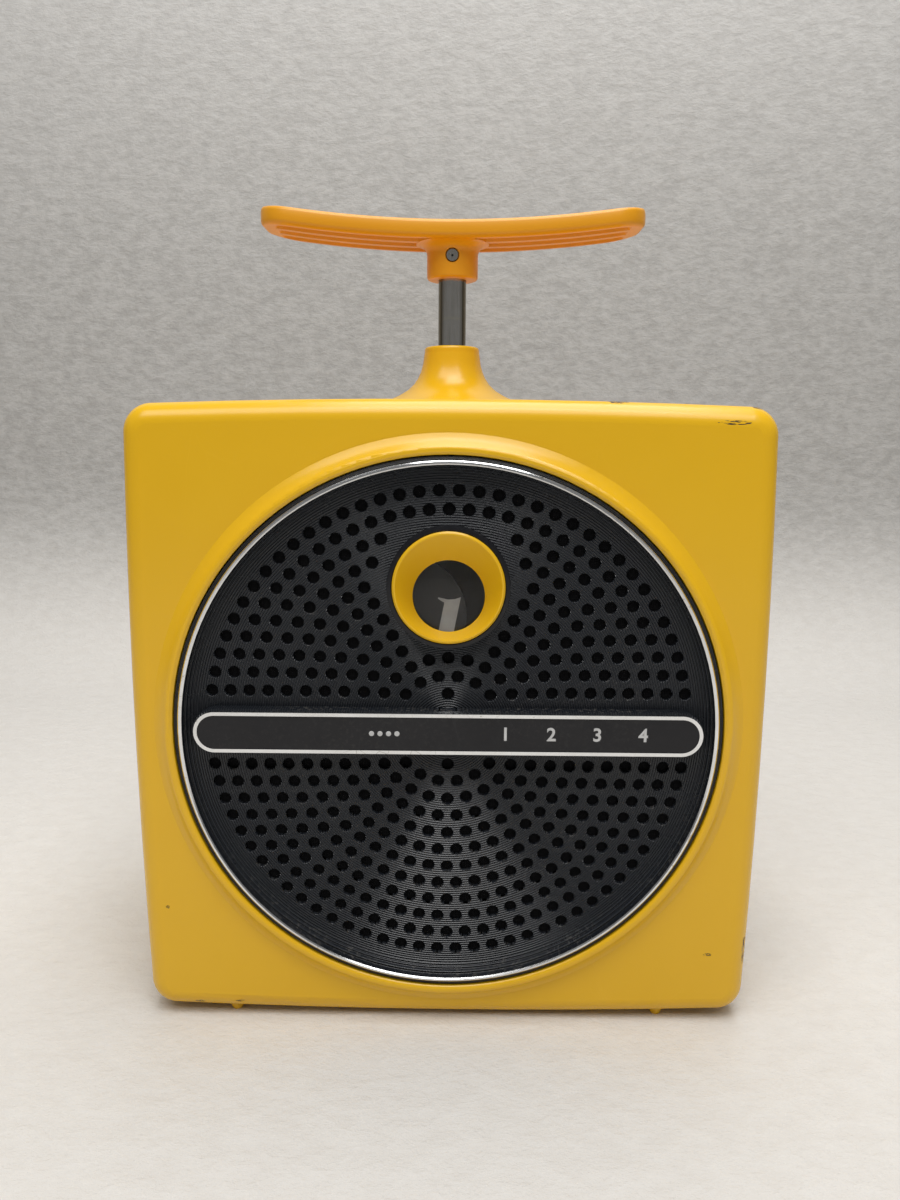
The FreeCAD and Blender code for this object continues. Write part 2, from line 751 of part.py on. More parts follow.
def grille_cloth():
    sheet = rod("cloth_disc", "Y", ("0", "cloth_y", "ring_z"), "rim_inner-field_overlap+0.2", "cloth_thick")
    opening = rod("cloth_opening", "Y", ("0", "cloth_y-1", "window_z"), "bezel_radius+1", "cloth_thick+2")
    piece("grille_cloth", cut("grille_cloth", sheet, opening))


def indicator():
    """Slanted funnel round the programme window, and the clear lens at its foot."""
    body = turned("indicator_bezel", "Y", ("0", "window_z"), [
        ("pan_y-seat", "0"),
        ("pan_y-seat", "bezel_radius"),
        ("ring_y+0.5", "bezel_radius"),
        ("ring_y", "bezel_radius-0.5"),
        ("ring_y", "0"),
    ])
    doc.recompute()
    mouths = []
    for name, y, z, radius in (("wide", "ring_y", "window_z", "bezel_radius-bezel_edge"),
                               ("narrow", "pan_y-seat", "lens_z", "lens_radius")):
        mouth = body.newObject("Sketcher::SketchObject", "bezel_%s_mouth" % name)
        mouth.AttachmentSupport = [(plane(body, "XZ_Plane"), "")]
        mouth.MapMode = "FlatFace"
        bind(mouth, "AttachmentOffset.Base.y", z)
        bind(mouth, "AttachmentOffset.Base.z", "-(%s)" % y)
        circle = Part.Circle(FreeCAD.Vector(0, 0, 0), FreeCAD.Vector(0, 0, 1), number(radius))
        mouth.addGeometry(circle, False)
        mouth.addConstraint(Sketcher.Constraint("Coincident", 0, 3, -1, 1))
        mouth.renameConstraint(mouth.addConstraint(Sketcher.Constraint("Radius", 0, number(radius))), "size")
        bind(mouth, "Constraints.size", radius)
        mouths.append(mouth)
    funnel = body.newObject("PartDesign::SubtractiveLoft", "bezel_funnel")
    funnel.Profile = mouths[0]
    funnel.Sections = [mouths[1]]
    funnel.Ruled = True
    piece("indicator_bezel", body)
    piece("indicator_lens", turned("indicator_lens", "Y", ("0", "lens_z"), [
        ("lens_y+lens_thick", "0"),
        ("lens_y+lens_thick", "lens_radius+lens_lip"),
        ("lens_y", "lens_radius+lens_lip"),
        ("lens_y", "lens_radius-1", "((lens_radius-1)^2+lens_rise^2)/(2*lens_rise)"),
        ("lens_y-lens_rise", "0"),
    ]))


# ---------------------------------------------------------------- loudspeaker

def loudspeaker():
    basket = turned("basket", "Y", ("0", "speaker_z"), [
        ("speaker_y", "cone_radius+2"),
        ("speaker_y", "speaker_radius"),
        ("speaker_y+basket_sheet", "speaker_radius"),
        ("speaker_y+basket_sheet", "cone_radius+3"),
        ("speaker_y+4", "cone_radius+2"),
        ("basket_y", "basket_back+4"),
        ("magnet_y", "basket_back+2"),
        ("magnet_y", "coil_radius+2"),
        ("basket_y", "coil_radius+2"),
        ("basket_y", "basket_back+1"),
        ("speaker_y+4", "cone_radius+0.6"),
    ])
    doc.recompute()
    gaps = []
    for i in range(4):
        gap = box("basket_gap%d" % i, ("-9", "9"), ("0", "basket_depth-7"), ("basket_back+5", "cone_radius+6"))
        turn = FreeCAD.Rotation(FreeCAD.Vector(0, 1, 0), 45 + 90 * i)
        gap.Placement.Rotation = turn
        bind(gap, "Placement.Base.x", "%.6f+%.6f*(basket_back+5)" % (
            turn.multVec(FreeCAD.Vector(-9, 0, 0)).x, turn.multVec(FreeCAD.Vector(0, 0, 1)).x))
        bind(gap, "Placement.Base.y", "speaker_y+5")
        bind(gap, "Placement.Base.z", "speaker_z+%.6f+%.6f*(basket_back+5)" % (
            turn.multVec(FreeCAD.Vector(-9, 0, 0)).z, turn.multVec(FreeCAD.Vector(0, 0, 1)).z))
        gaps.append(gap)
    screw_ways = speaker_screw_holes("basket", "speaker_y-1", "4")
    piece("speaker_frame", cut("speaker_frame", basket, *gaps, *screw_ways))
    piece("speaker_magnet", turned("speaker_magnet", "Y", ("0", "speaker_z"), [
        ("magnet_back", "0"),
        ("magnet_back", "magnet_radius-1"),
        ("magnet_back-1", "magnet_radius"),
        ("magnet_y", "magnet_radius"),
        ("magnet_y", "coil_radius+1"),
        ("magnet_back-3", "coil_radius+1"),
        ("magnet_back-3", "pole_radius"),
        ("magnet_y-1", "pole_radius"),
        ("magnet_y-1", "0"),
    ]))
    piece("speaker_cone", turned("speaker_cone", "Y", ("0", "speaker_z"), [
        ("speaker_y+0.4+cone_travel", "cone_radius+0.2"),
        ("speaker_y+1.2+cone_travel", "cone_radius+0.2"),
        ("speaker_y+1.6+cone_travel", "cone_radius-3.4"),
        ("basket_y-2.5", "coil_radius+0.6"),
        ("basket_y+4", "coil_radius+0.6"),
        ("basket_y+4", "coil_radius"),
        ("basket_y-4.5", "coil_radius"),
        ("basket_y-8", "0"),
        ("basket_y-8.6", "0"),
        ("basket_y-5.2", "coil_radius"),
        ("speaker_y+0.8+cone_travel", "cone_radius-3.4"),
    ]))
    screws = []
    for i, (x, z) in enumerate(speaker_screw_places()):
        shank = rod("speaker_screw_shank%d" % i, "Y", (x, "speaker_y-2", z), "speaker_screw", "4")
        head = rod("speaker_screw_head%d" % i, "Y", (x, "speaker_y+basket_sheet", z), "speaker_screw+0.55", "1")
        screws.append(fuse("speaker_screw%d" % i, shank, head))
    piece("speaker_screws", group("speaker_screws", *screws))


# ---------------------------------------------------------------- plunger

def plunger():
    """Bowed handle with a flared hub, on a steel tube that slides in a bush in the neck."""
    half = "handle_length/2"
    outer = "handle_bow+handle_thick"
    top_end = "handle_z+handle_bow-sqrt(handle_bow^2-(%s)^2)" % half
    low_end = "handle_z+handle_bow-sqrt((%s)^2-(%s)^2)" % (outer, half)
    grip = slab("grip", "XZ_Plane", ("0", "0", "0"), [
        ("-%s" % half, top_end, "handle_bow"),
        (half, top_end),
        (half, low_end, "-(%s)" % outer),
        ("-%s" % half, low_end),
    ], "handle_width", middle=True)

    def upright(edge):
        ends = [vertex.Point for vertex in edge.Vertexes]
        return len(ends) == 2 and abs(ends[0].z - ends[1].z) > 1 and abs(ends[0].x - ends[1].x) < 0.01
    soften(grip, "grip_ends", "handle_round", upright)
    soften(grip, "grip_edges", "handle_thick*0.36", lambda edge: True)
    groove_out = "handle_bow+handle_thick+1"
    groove_in = "handle_bow+handle_thick-groove_depth"
    reach = "(handle_length/2-handle_round)"
    grooves = []
    for i in range(-3, 4):
        deep = "handle_z+handle_bow-sqrt((%s)^2-%s^2)" % (groove_out, reach)
        shallow = "handle_z+handle_bow-sqrt((%s)^2-%s^2)" % (groove_in, reach)
        grooves.append(slab("groove%d" % (i + 3), "XZ_Plane", ("0", "0", "%d*groove_pitch" % i), [
            ("-%s" % reach, shallow, groove_in),
            (reach, shallow),
            (reach, deep, "-(%s)" % groove_out),
            ("-%s" % reach, deep),
        ], "groove_width", middle=True))
    hub = turned("hub", "Z", ("0", "0"), [
        ("hub_z", "0"),
        ("hub_z", "hub_radius-hub_edge", "-hub_edge"),
        ("hub_z+hub_edge", "hub_radius"),
        ("hub_z+hub_height-hub_flare", "hub_radius", "hub_flare"),
        ("hub_z+hub_height+0.2", "hub_radius+hub_flare"),
        ("handle_z-1.5", "hub_radius+hub_flare"),
        ("handle_z-1.5", "0"),
    ])
    socket = rod("hub_socket", "Z", ("0", "0", "hub_z-1"), "tube_radius", "socket_depth+1")
    screw_z = "hub_z+hub_screw_rise"
    head_hole = rod("hub_head_hole", "Y", ("0", "-hub_radius-2", screw_z), "hub_screw+0.9", "4")
    shank_hole = rod("hub_shank_hole", "Y", ("0", "-hub_radius-2", screw_z), "hub_screw+slip", "hub_radius*2")
    solid = fuse("handle_solid", cut("grooved_grip", grip, *grooves), hub)
    piece("plunger_handle", cut("plunger_handle", solid, socket, head_hole, shank_hole))
    tube = pipe("tube_plain", "Z", ("0", "0", "foot_top-foot_socket"), "tube_radius", "tube_bore",
                "hub_z+socket_depth-foot_top+foot_socket")
    cross = rod("tube_cross_hole", "Y", ("0", "-hub_radius", screw_z), "hub_screw+slip", "hub_radius*2")
    piece("plunger_tube", cut("plunger_tube", tube, cross))
    shank = rod("handle_screw_shank", "Y", ("0", "-hub_radius+0.4", screw_z), "hub_screw", "hub_radius+4")
    head = rod("handle_screw_head", "Y", ("0", "-hub_radius+0.1", screw_z), "hub_screw+0.75", "1.6")
    piece("handle_screw", fuse("handle_screw", shank, head))
    piece("plunger_bush", turned("plunger_bush", "Z", ("0", "0"), [
        ("top_z-wall-bush_drop", "tube_radius+slip"),
        ("top_z-wall-bush_drop", "neck_bore-slip"),
        ("top_z-wall-3", "neck_bore-slip"),
        ("top_z-wall-3", "bush_flange"),
        ("top_z-wall", "bush_flange"),
        ("top_z-wall", "neck_bore-slip"),
        ("neck_top-0.6", "neck_bore-slip"),
        ("neck_top-0.6", "tube_radius+slip"),
    ]))
    piece("plunger_stop", pipe("plunger_stop", "Z", ("0", "0", "top_z-wall-bush_drop-seat-3"), "8", "tube_radius", "3"))
    guide_plate = box("guide_plate", ("-12", "12"), ("-9", "deck_y"), ("foot_top+5.5", "foot_top+7"))
    flange = box("guide_flange", ("-12", "12"), ("deck_y-1.5", "deck_y"), ("foot_top-6", "foot_top+7"))
    passage = rod("guide_passage", "Z", ("0", "0", "foot_top"), "tube_radius+slip", "12")
    piece("plunger_guide", cut("plunger_guide", fuse("guide_bent", guide_plate, flange), passage))
    coil_low = number("foot_top+7.2")
    coil_high = number("top_z-wall-bush_drop-seat-3.2")
    turns = 6
    helix = Part.makeHelix((coil_high - coil_low - 1.2) / turns, coil_high - coil_low - 1.2,
                           number("tube_radius+1.5"))
    start = FreeCAD.Vector(number("tube_radius+1.5"), 0, 0)
    section = Part.Wire(Part.makePolygon([start + FreeCAD.Vector(0.55 * math.cos(a), 0, 0.55 * math.sin(a))
                                          for a in (0, math.pi / 2, math.pi, 3 * math.pi / 2, 0)]))
    spring = doc.addObject("Part::Feature", "plunger_spring")
    spring.Shape = Part.Wire(helix).makePipeShell([section], True, True)
    put(spring, "0", "0", "foot_top+7.2+0.6")
    piece("plunger_spring", spring)
    block = box("foot_solid", ("-foot_block", "foot_block"), ("-foot_block", "foot_block"),
                ("foot_top-20", "foot_top"))
    bore = rod("foot_bore", "Z", ("0", "0", "foot_top-foot_socket"), "tube_radius", "foot_socket+1")
    pin_end = "-tube_radius-0.1"
    pin_z = "index_z+pawl_pin_rise"
    pin = rod("pawl_pin", "Y", ("pawl_pin_x", "-foot_block-4.4", pin_z), "pawl_pin_radius",
              "%s+foot_block+4.4" % pin_end)
    pin_hole = rod("pawl_pin_hole", "Y", ("pawl_pin_x", "-foot_block-1", pin_z), "pawl_pin_radius",
                   "%s+foot_block+1" % pin_end)
    piece("plunger_foot", cut("plunger_foot", block, bore, pin_hole))
    piece("pawl_pin", pin)


# ---------------------------------------------------------------- programme change

def programme_change():
    """Push-down pawl, four-pin wheel, stepped cam and numbered disc on one shaft."""
    pawl = slab("pawl_plate", "XZ_Plane", ("0", "0", "foot_block+3.6"), [
        ("index_x+5.3", "index_z+8"),
        ("index_x+10.8", "index_z+8"),
        ("index_x+15.6", "index_z+16.4"),
        ("index_x+14.6", "index_z+20.6"),
        ("index_x+10.4", "index_z+20.4"),
        ("index_x+8.6", "index_z+10.7"),
        ("index_x+5.3", "index_z+10.7"),
    ], "2.4", reverse=True)
    hole = rod("pawl_hole", "Y", ("pawl_pin_x", "-foot_block-5", "index_z+pawl_pin_rise"),
               "pawl_pin_radius+slip", "6")
    piece("pawl", cut("pawl", pawl, hole))
    piece("index_shaft", rod("index_shaft", "Y", ("index_x", "pan_back+0.6", "index_z"), "shaft_radius",
                             "deck_back+2-pan_back-0.6"))
    plate = pipe("pin_wheel_plate", "Y", ("index_x", "-foot_block-6", "index_z"), "pin_circle+2",
                 "shaft_radius", "1.7")
    pins = [rod("wheel_pin%d" % i, "Y",
                ("index_x+%d*0.70710678*pin_circle" % side, "-foot_block-5", "index_z+%d*0.70710678*pin_circle" % up),
                "pin_radius", "4.2")
            for i, (side, up) in enumerate(((1, 1), (-1, 1), (-1, -1), (1, -1)))]
    piece("pin_wheel", fuse("pin_wheel", plate, *pins))
    cam = pipe("cam_plain", "Y", ("index_x", "2.2", "index_z"), "cam_radius", "shaft_radius", "4.9")
    steps = []
    for i in range(3):
        # the quarters facing down, right and up stand three, two and one track steps lower
        wedge = doc.addObject("Part::Cylinder", "cam_step%d" % i)
        bind(wedge, "Radius", "cam_radius+1")
        bind(wedge, "Height", "6")
        wedge.Angle = 90
        quarter = FreeCAD.Rotation(FreeCAD.Vector(0, 1, 0), 45 - 90 * i)
        wedge.Placement.Rotation = quarter * ALONG["Y"]
        put(wedge, "index_x", "7.1-%d*cam_step" % (3 - i), "index_z")
        steps.append(wedge)
    piece("program_cam", cut("program_cam", cam, *steps))
    disc = pipe("disc_plain", "Y", ("index_x", "pan_back+4.2", "index_z"), "disc_radius", "shaft_radius", "1.2")
    hub = pipe("disc_hub", "Y", ("index_x", "pan_back+4.2", "index_z"), "4.5", "shaft_radius", "6")
    piece("number_disc", fuse("number_disc", disc, hub))
    carriage = slab("carriage_plate", "YZ_Plane", ("0", "0", "4"), [
        ("-9", "58"),
        ("10", "58"),
        ("10", "88"),
        ("-9", "88"),
    ], "4")
    arm = slab("carriage_arm", "XZ_Plane", ("0", "0", "-9"), [
        ("4", "60"),
        ("8", "60"),
        ("8", "98"),
        ("index_x+8", "index_z-2"),
        ("index_x-3", "index_z-2"),
        ("index_x-3", "index_z-10"),
        ("index_x+6.5", "index_z-11.5"),
        ("4", "92"),
    ], "1.6", reverse=True)
    nub = rod("carriage_nub", "Y", ("index_x", "7.1-3*cam_step+0.6", "index_z-5"), "0.8", "1.6+3*cam_step")
    slots = [rod("carriage_hole%d" % i, "Y", ("6", "-12", z), "1.25+slip", "26")
             for i, z in enumerate(("63", "83"))]
    piece("head_carriage", cut("head_carriage", fuse("carriage_solid", carriage, arm, nub), *slots))
    pins = [rod("carriage_rod%d" % i, "Y", ("6", "-12", z), "1.25", "deck_y+12") for i, z in enumerate(("63", "83"))]
    piece("carriage_rods", group("carriage_rods", *pins))
    case = box("head_case", ("8", "16"), ("-6", "6"), ("67", "79"))
    nose = rod("head_nose", "Y", ("15", "-6", "73"), "5", "12")
    piece("playback_head", fuse("playback_head", case, nose))


# ---------------------------------------------------------------- tape deck

def tape_deck():
    chassis = slab("chassis_plate", "XZ_Plane", ("0", "0", "-(deck_y)"), [
        ("0", "deck_low"),
        ("deck_step", "deck_low"),
        ("deck_step", "guide_low-1"),
        ("deck_end", "guide_low-1"),
        ("deck_end", "deck_high"),
        ("guide_x-5", "deck_high"),
        ("guide_x-5", "foot_top+8"),
        ("index_x-8", "foot_top+8"),
        ("index_x-8", "index_z-9"),
        ("0", "index_z-9"),
    ], "deck_sheet", reverse=True)
    holes = [
        rod("chassis_index_hole", "Y", ("index_x", "deck_y-1", "index_z"), "shaft_radius+slip", "deck_sheet+2"),
        rod("chassis_capstan_hole", "Y", ("capstan_x", "deck_y-1", "capstan_z"), "3.6", "deck_sheet+2"),
    ]
    for i, (x, z, _) in enumerate(DECK_POSTS):
        holes.append(rod("chassis_hole%d" % i, "Y", (x, "deck_y-1", z), "deck_screw+0.4", "deck_sheet+2"))
    piece("deck_chassis", cut("deck_chassis", chassis, *holes))
    screws = []
    for i, (x, z, _) in enumerate(DECK_POSTS):
        shank = rod("deck_screw_shank%d" % i, "Y", (x, "deck_y-7", z), "deck_screw", "deck_sheet+7.5")
        head = rod("deck_screw_head%d" % i, "Y", (x, "deck_back", z), "deck_screw+1.5", "1.6")
        screws.append(fuse("deck_screw%d" % i, shank, head))
    piece("deck_screws", group("deck_screws", *screws))
    outer = box("guide_outer", ("guide_x", "guide_end"), ("-guide_out", "guide_out"),
                ("guide_low-guide_sheet", "guide_top+guide_sheet"))
    inner = box("guide_inner", ("guide_x-1", "guide_end+1"), ("-guide_in", "guide_in"), ("guide_low", "guide_top"))
    relief = box("guide_roller_slot", ("36", "46"), ("-4", "4"), ("guide_low-3", "guide_low+1"))
    window = box("guide_window", ("guide_x+14", "guide_end-16"), ("-guide_out-1", "-guide_in+1"),
                 ("guide_low+22", "guide_top-22"))
    piece("cartridge_guide", cut("cartridge_guide", outer, inner, relief, window))
    at_capstan = ("capstan_x", "capstan_z")
    piece("flywheel", turned("flywheel", "Y", at_capstan, [
        ("wheel_y", "capstan_radius"),
        ("wheel_y", "6"),
        ("wheel_y+2.4", "7"),
        ("wheel_y+2.4", "flywheel_radius-6"),
        ("wheel_y", "flywheel_radius-5"),
        ("wheel_y", "flywheel_radius"),
        ("wheel_y+flywheel_thick", "flywheel_radius"),
        ("wheel_y+flywheel_thick", "flywheel_radius-5"),
        ("wheel_y+5", "flywheel_radius-6"),
        ("wheel_y+5", "7"),
        ("wheel_y+flywheel_thick+1", "6"),
        ("wheel_y+flywheel_thick+1", "capstan_radius"),
    ]))
    piece("capstan", rod("capstan", "Y", ("capstan_x", "-9", "capstan_z"), "capstan_radius",
                         "wheel_y+flywheel_thick+3+9"))
    piece("capstan_bearing", turned("capstan_bearing", "Y", at_capstan, [
        ("deck_y-4", "capstan_radius+slip"),
        ("deck_y-4", "3.55"),
        ("deck_back", "3.55"),
        ("deck_back", "6"),
        ("deck_back+1.6", "6"),
        ("deck_back+1.6", "capstan_radius+slip"),
    ]))
    piece("motor", turned("motor", "Y", ("motor_x", "motor_z"), [
        ("motor_y", "0"),
        ("motor_y", "motor_radius-2", "-2"),
        ("motor_y+2", "motor_radius"),
        ("motor_y+motor_length", "motor_radius"),
        ("motor_y+motor_length", "6"),
        ("motor_y+motor_length+1.6", "5"),
        ("motor_y+motor_length+1.6", "0"),
    ]))
    plate = box("motor_plate", ("motor_x-motor_radius-4", "motor_x+motor_radius+4"), ("motor_y-1.5", "motor_y"),
                ("motor_z-motor_radius-4", "motor_z+motor_radius+4"))
    legs = []
    for i, (side, up) in enumerate(((1, 1), (-1, 1), (-1, -1), (1, -1))):
        legs.append(rod("motor_leg%d" % i, "Y", ("motor_x+%d*(motor_radius+1)" % side, "deck_back",
                                                 "motor_z+%d*(motor_radius+1)" % up), "2.2", "motor_y-1-deck_back"))
    eye = rod("motor_plate_eye", "Y", ("motor_x", "motor_y-3", "motor_z"), "pulley_radius+1.4", "4")
    piece("motor_bracket", cut("motor_bracket", fuse("motor_stand", plate, *legs), eye))
    piece("motor_pulley", turned("motor_pulley", "Y", ("motor_x", "motor_z"), [
        ("pulley_y", "0"),
        ("pulley_y", "pulley_radius+1"),
        ("pulley_y+1.4", "pulley_radius+1"),
        ("pulley_y+2", "pulley_radius"),
        ("pulley_y+6", "pulley_radius"),
        ("pulley_y+6.6", "pulley_radius+1"),
        ("pulley_y+flywheel_thick", "pulley_radius+1"),
        ("pulley_y+flywheel_thick", "1.2"),
        ("motor_y-seat", "1.2"),
        ("motor_y-seat", "0"),
    ]))
    drive_belt()


def drive_belt():
    """Flat loop round the flywheel and the motor pulley, along their outer tangents."""
    wheel = FreeCAD.Vector(number("capstan_x"), 0, number("capstan_z"))
    pulley = FreeCAD.Vector(number("motor_x"), 0, number("motor_z"))
    line = pulley - wheel
    lean = math.atan2(line.z, line.x)

    def loop_wire(big, small):
        spread = math.acos((big - small) / line.Length)

        def point(centre, radius, angle):
            return centre + FreeCAD.Vector(radius * math.cos(angle), 0, radius * math.sin(angle))
        upper = lean + spread
        lower = lean - spread
        far = point(wheel, big, lean + math.pi)
        near = point(pulley, small, lean)
        ends = [point(wheel, big, upper), point(wheel, big, lower), point(pulley, small, lower),
                point(pulley, small, upper)]
        return Part.Wire([
            Part.Arc(ends[0], far, ends[1]).toShape(),
            Part.makeLine(ends[1], ends[2]),
            Part.Arc(ends[2], near, ends[3]).toShape(),
            Part.makeLine(ends[3], ends[0]),
        ])
    gap = number("seat")
    thick = number("belt_thick")
    big = number("flywheel_radius") + gap
    small = number("pulley_radius") + gap
    face = Part.Face([loop_wire(big + thick, small + thick), loop_wire(big, small)], "Part::FaceMakerBullseye")
    belt = doc.addObject("Part::Feature", "drive_belt")
    belt.Shape = face.extrude(FreeCAD.Vector(0, 3.4, 0))
    put(belt, "0", "wheel_y+2.3", "0")
    piece("drive_belt", belt)


def cartridge_door():
    """Frame round the cartridge slot, and the sprung flap on its upright pin."""
    outer = box("slot_outer", ("side_x-6.2", "side_x-1.6"), ("-guide_in-3", "guide_in+3"),
                ("guide_low-3", "guide_top+3"))
    inner = box("slot_inner", ("side_x-7", "side_x"), ("-guide_in-0.5", "guide_in+0.5"),
                ("guide_low-0.5", "guide_top+0.5"))
    pin_hole = rod("slot_pin_hole", "Z", ("side_x-4.3", "-guide_in+1.4", "guide_low-2"), "0.9",
                   "guide_top-guide_low+4")
    piece("slot_bezel", cut("slot_bezel", outer, inner, pin_hole))
    piece("door_pin", rod("door_pin", "Z", ("side_x-4.3", "-guide_in+1.4", "guide_low-2"), "0.9",
                          "guide_top-guide_low+4"))
    plate = box("door_plate", ("side_x-5", "side_x-3.6"), ("-guide_in+1.4", "guide_in-0.1"),
                ("guide_low+0.2", "guide_top-0.2"))
    barrel = rod("door_barrel", "Z", ("side_x-4.3", "-guide_in+1.4", "guide_low+0.2"), "1.6",
                 "guide_top-guide_low-0.4")
    bore = rod("door_bore", "Z", ("side_x-4.3", "-guide_in+1.4", "guide_low"), "0.9+slip",
               "guide_top-guide_low")
    piece("slot_door", cut("slot_door", fuse("door_solid", plate, barrel), bore))


# ---------------------------------------------------------------- controls and electrics

def controls():
    for name, y in (("volume", "volume_y"), ("tone", "tone_y")):
        knob = turned(name + "_blank", "X", (y, "knob_z"), [
            ("side_x-knob_depth-0.9", "0"),
            ("side_x-knob_depth-0.9", "knob_radius"),
            ("knob_face-knob_edge", "knob_radius-0.4", "-knob_edge"),
            ("knob_face", "knob_radius-0.4-knob_edge"),
            ("knob_face", "0"),
        ])
        flutes = []
        for i in range(12):
            angle = math.radians(30 * i)
            flutes.append(rod("%s_flute%d" % (name, i), "X", (
                "side_x-knob_depth-2",
                "%s+%.6f*(knob_radius+0.6)" % (y, math.cos(angle)),
                "knob_z+%.6f*(knob_radius+0.6)" % math.sin(angle)), "1.3", "knob_depth+3"))
        bore = rod(name + "_knob_bore", "X", ("side_x-knob_depth-1", y, "knob_z"), "spindle_radius+slip",
                   "knob_depth-2")
        mark = box(name + "_mark", ("side_x-2", "side_x"), ("%s-0.5" % y, "%s+0.5" % y),
                   ("knob_z+3", "knob_z+knob_radius"))
        piece(name + "_knob", cut(name + "_knob", knob, *flutes, bore, mark))
        can = rod(name + "_pot_can", "X", ("side_x-knob_depth-16", y, "knob_z"), "8.5", "9.6")
        stem = rod(name + "_pot_stem", "X", ("side_x-knob_depth-7", y, "knob_z"), "pot_neck", "5.6")
        tag = box(name + "_pot_tags", ("side_x-knob_depth-13", "side_x-knob_depth-12.2"),
                  ("%s-6" % y, "%s+6" % y), ("knob_z-14", "knob_z-6"))
        body = fuse(name + "_pot_body", can, stem, tag)
        hole = rod(name + "_pot_hole", "X", ("side_x-knob_depth-10", y, "knob_z"), "spindle_radius+slip", "12")
        piece(name + "_pot", cut(name + "_pot", body, hole))
        piece(name + "_spindle", rod(name + "_spindle", "X", ("side_x-knob_depth-9.9", y, "knob_z"),
                                     "spindle_radius", "13"))


def jacks():
    for name, y in (("earphone", "earphone_y"), ("power", "power_y")):
        barrel = rod(name + "_barrel", "X", ("-side_x+0.8", y, "jack_z"), "jack_radius", "12")
        block = box(name + "_block", ("-side_x+5", "-side_x+15"), ("%s-5" % y, "%s+5" % y),
                    ("jack_z-5", "jack_z+5"))
        bore = rod(name + "_jack_bore", "X", ("-side_x", y, "jack_z"),
                   "jack_bore" if name == "earphone" else "jack_bore+0.95", "10.8")
        solid = cut(name + "_drilled", fuse(name + "_solid", barrel, block), bore)
        if name == "power":
            pin = rod("power_pin", "X", ("-side_x+2", y, "jack_z"), "0.9", "10")
            solid = fuse("power_with_pin", solid, pin)
        piece("earphone_jack" if name == "earphone" else "dc_jack", solid)


def electronics():
    piece("circuit_board", box("circuit_board", ("board_left", "board_right"),
                               ("board_y", "board_y+board_thick"), ("board_low", "board_high")))
    cans = []
    for i, (along, drop, radius, tall) in enumerate(((18, 16, 6, 22), (34, 16, 6, 22), (54, 12, 4, 14),
                                                     (72, 16, 5, 18), (88, 18, 4, 14))):
        place = ("board_left+%d" % along, "board_y-%d" % tall, "board_high-%d" % drop)
        cans.append(rod("capacitor%d" % i, "Y", place, str(radius), str(tall)))
    piece("board_capacitors", group("board_capacitors", *cans))
    sink_high = ("board_low+10", "board_high-32")
    base = box("sink_base", ("board_left+8", "board_left+48"), ("board_y-3", "board_y"), sink_high)
    fins = []
    for i in range(6):
        edges = ("board_left+8+%d*7.7" % i, "board_left+9.5+%d*7.7" % i)
        fins.append(box("sink_fin%d" % i, edges, ("board_y-18", "board_y-2"), sink_high))
    piece("heat_sink", fuse("heat_sink", base, *fins))


def battery_bay():
    outer = box("tray_outer", ("bay_left", "bay_x"), ("bay_front", "back_y-wall"), ("bay_z", "bay_top"))
    span_x, span_z = bay_span("0")
    inner = box("tray_inner", span_x, ("bay_front+bay_sheet", "back_y"), span_z)
    piece("battery_box", cut("battery_box", outer, inner))
    plates = []
    springs = []
    for column in range(2):
        for level in range(3):
            x = "bay_left+bay_sheet+cell_gap+cell_radius+%d*(2*cell_radius+cell_gap)" % column
            z = "bay_z+bay_sheet+cell_gap+cell_radius+%d*(2*cell_radius+cell_gap)" % level
            tag = "%d%d" % (column, level)
            plates.append(box("contact" + tag, ("%s-7" % x, "%s+7" % x),
                              ("bay_front+bay_sheet", "bay_front+bay_sheet+0.5"), ("%s-7" % z, "%s+7" % z)))
            springs.append(taper("cell_spring" + tag, "Y", (x, "bay_front+bay_sheet+0.5", z), "6", "3.2", "4"))
    piece("battery_contacts", group("battery_contacts", *plates))
    piece("battery_springs", group("battery_springs", *springs))


front_housing()
rear_housing()
battery_cover()
case_screws()
speaker_grille()
name_bar()
grille_trim_ring()
grille_cloth()
indicator()
loudspeaker()
plunger()
programme_change()
tape_deck()
cartridge_door()
controls()
jacks()
electronics()
battery_bay()
doc.recompute()

failed = [thing.Name for thing in doc.Objects if {"Invalid", "Error"} & set(thing.State)]
for node, thing in PIECES.items():
    if thing.Shape.isNull() or not thing.Shape.isValid() or not thing.Shape.Solids:
        failed.append(node)
if failed:
    raise SystemExit("not built: " + ", ".join(failed))
for node, thing in PIECES.items():
    thing.Shape.exportStep("parts/%s.step" % node)
print(len(PIECES), "sub-parts written")
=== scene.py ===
import json
import math

import bmesh
import bpy
from mathutils import Euler, Matrix, Vector


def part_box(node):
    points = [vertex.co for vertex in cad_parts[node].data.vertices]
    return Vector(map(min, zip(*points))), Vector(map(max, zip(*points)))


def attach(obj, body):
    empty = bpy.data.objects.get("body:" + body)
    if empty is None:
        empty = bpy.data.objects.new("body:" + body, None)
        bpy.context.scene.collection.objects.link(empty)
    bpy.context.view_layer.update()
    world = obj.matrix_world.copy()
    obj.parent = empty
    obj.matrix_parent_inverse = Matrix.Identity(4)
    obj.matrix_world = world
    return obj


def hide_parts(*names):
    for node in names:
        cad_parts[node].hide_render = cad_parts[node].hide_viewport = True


# Dressing for the plunger-handle cartridge player: grille, numerals, screws, springs, finishes.
# Lengths are in metres, the front looks towards -Y and +Z is up.

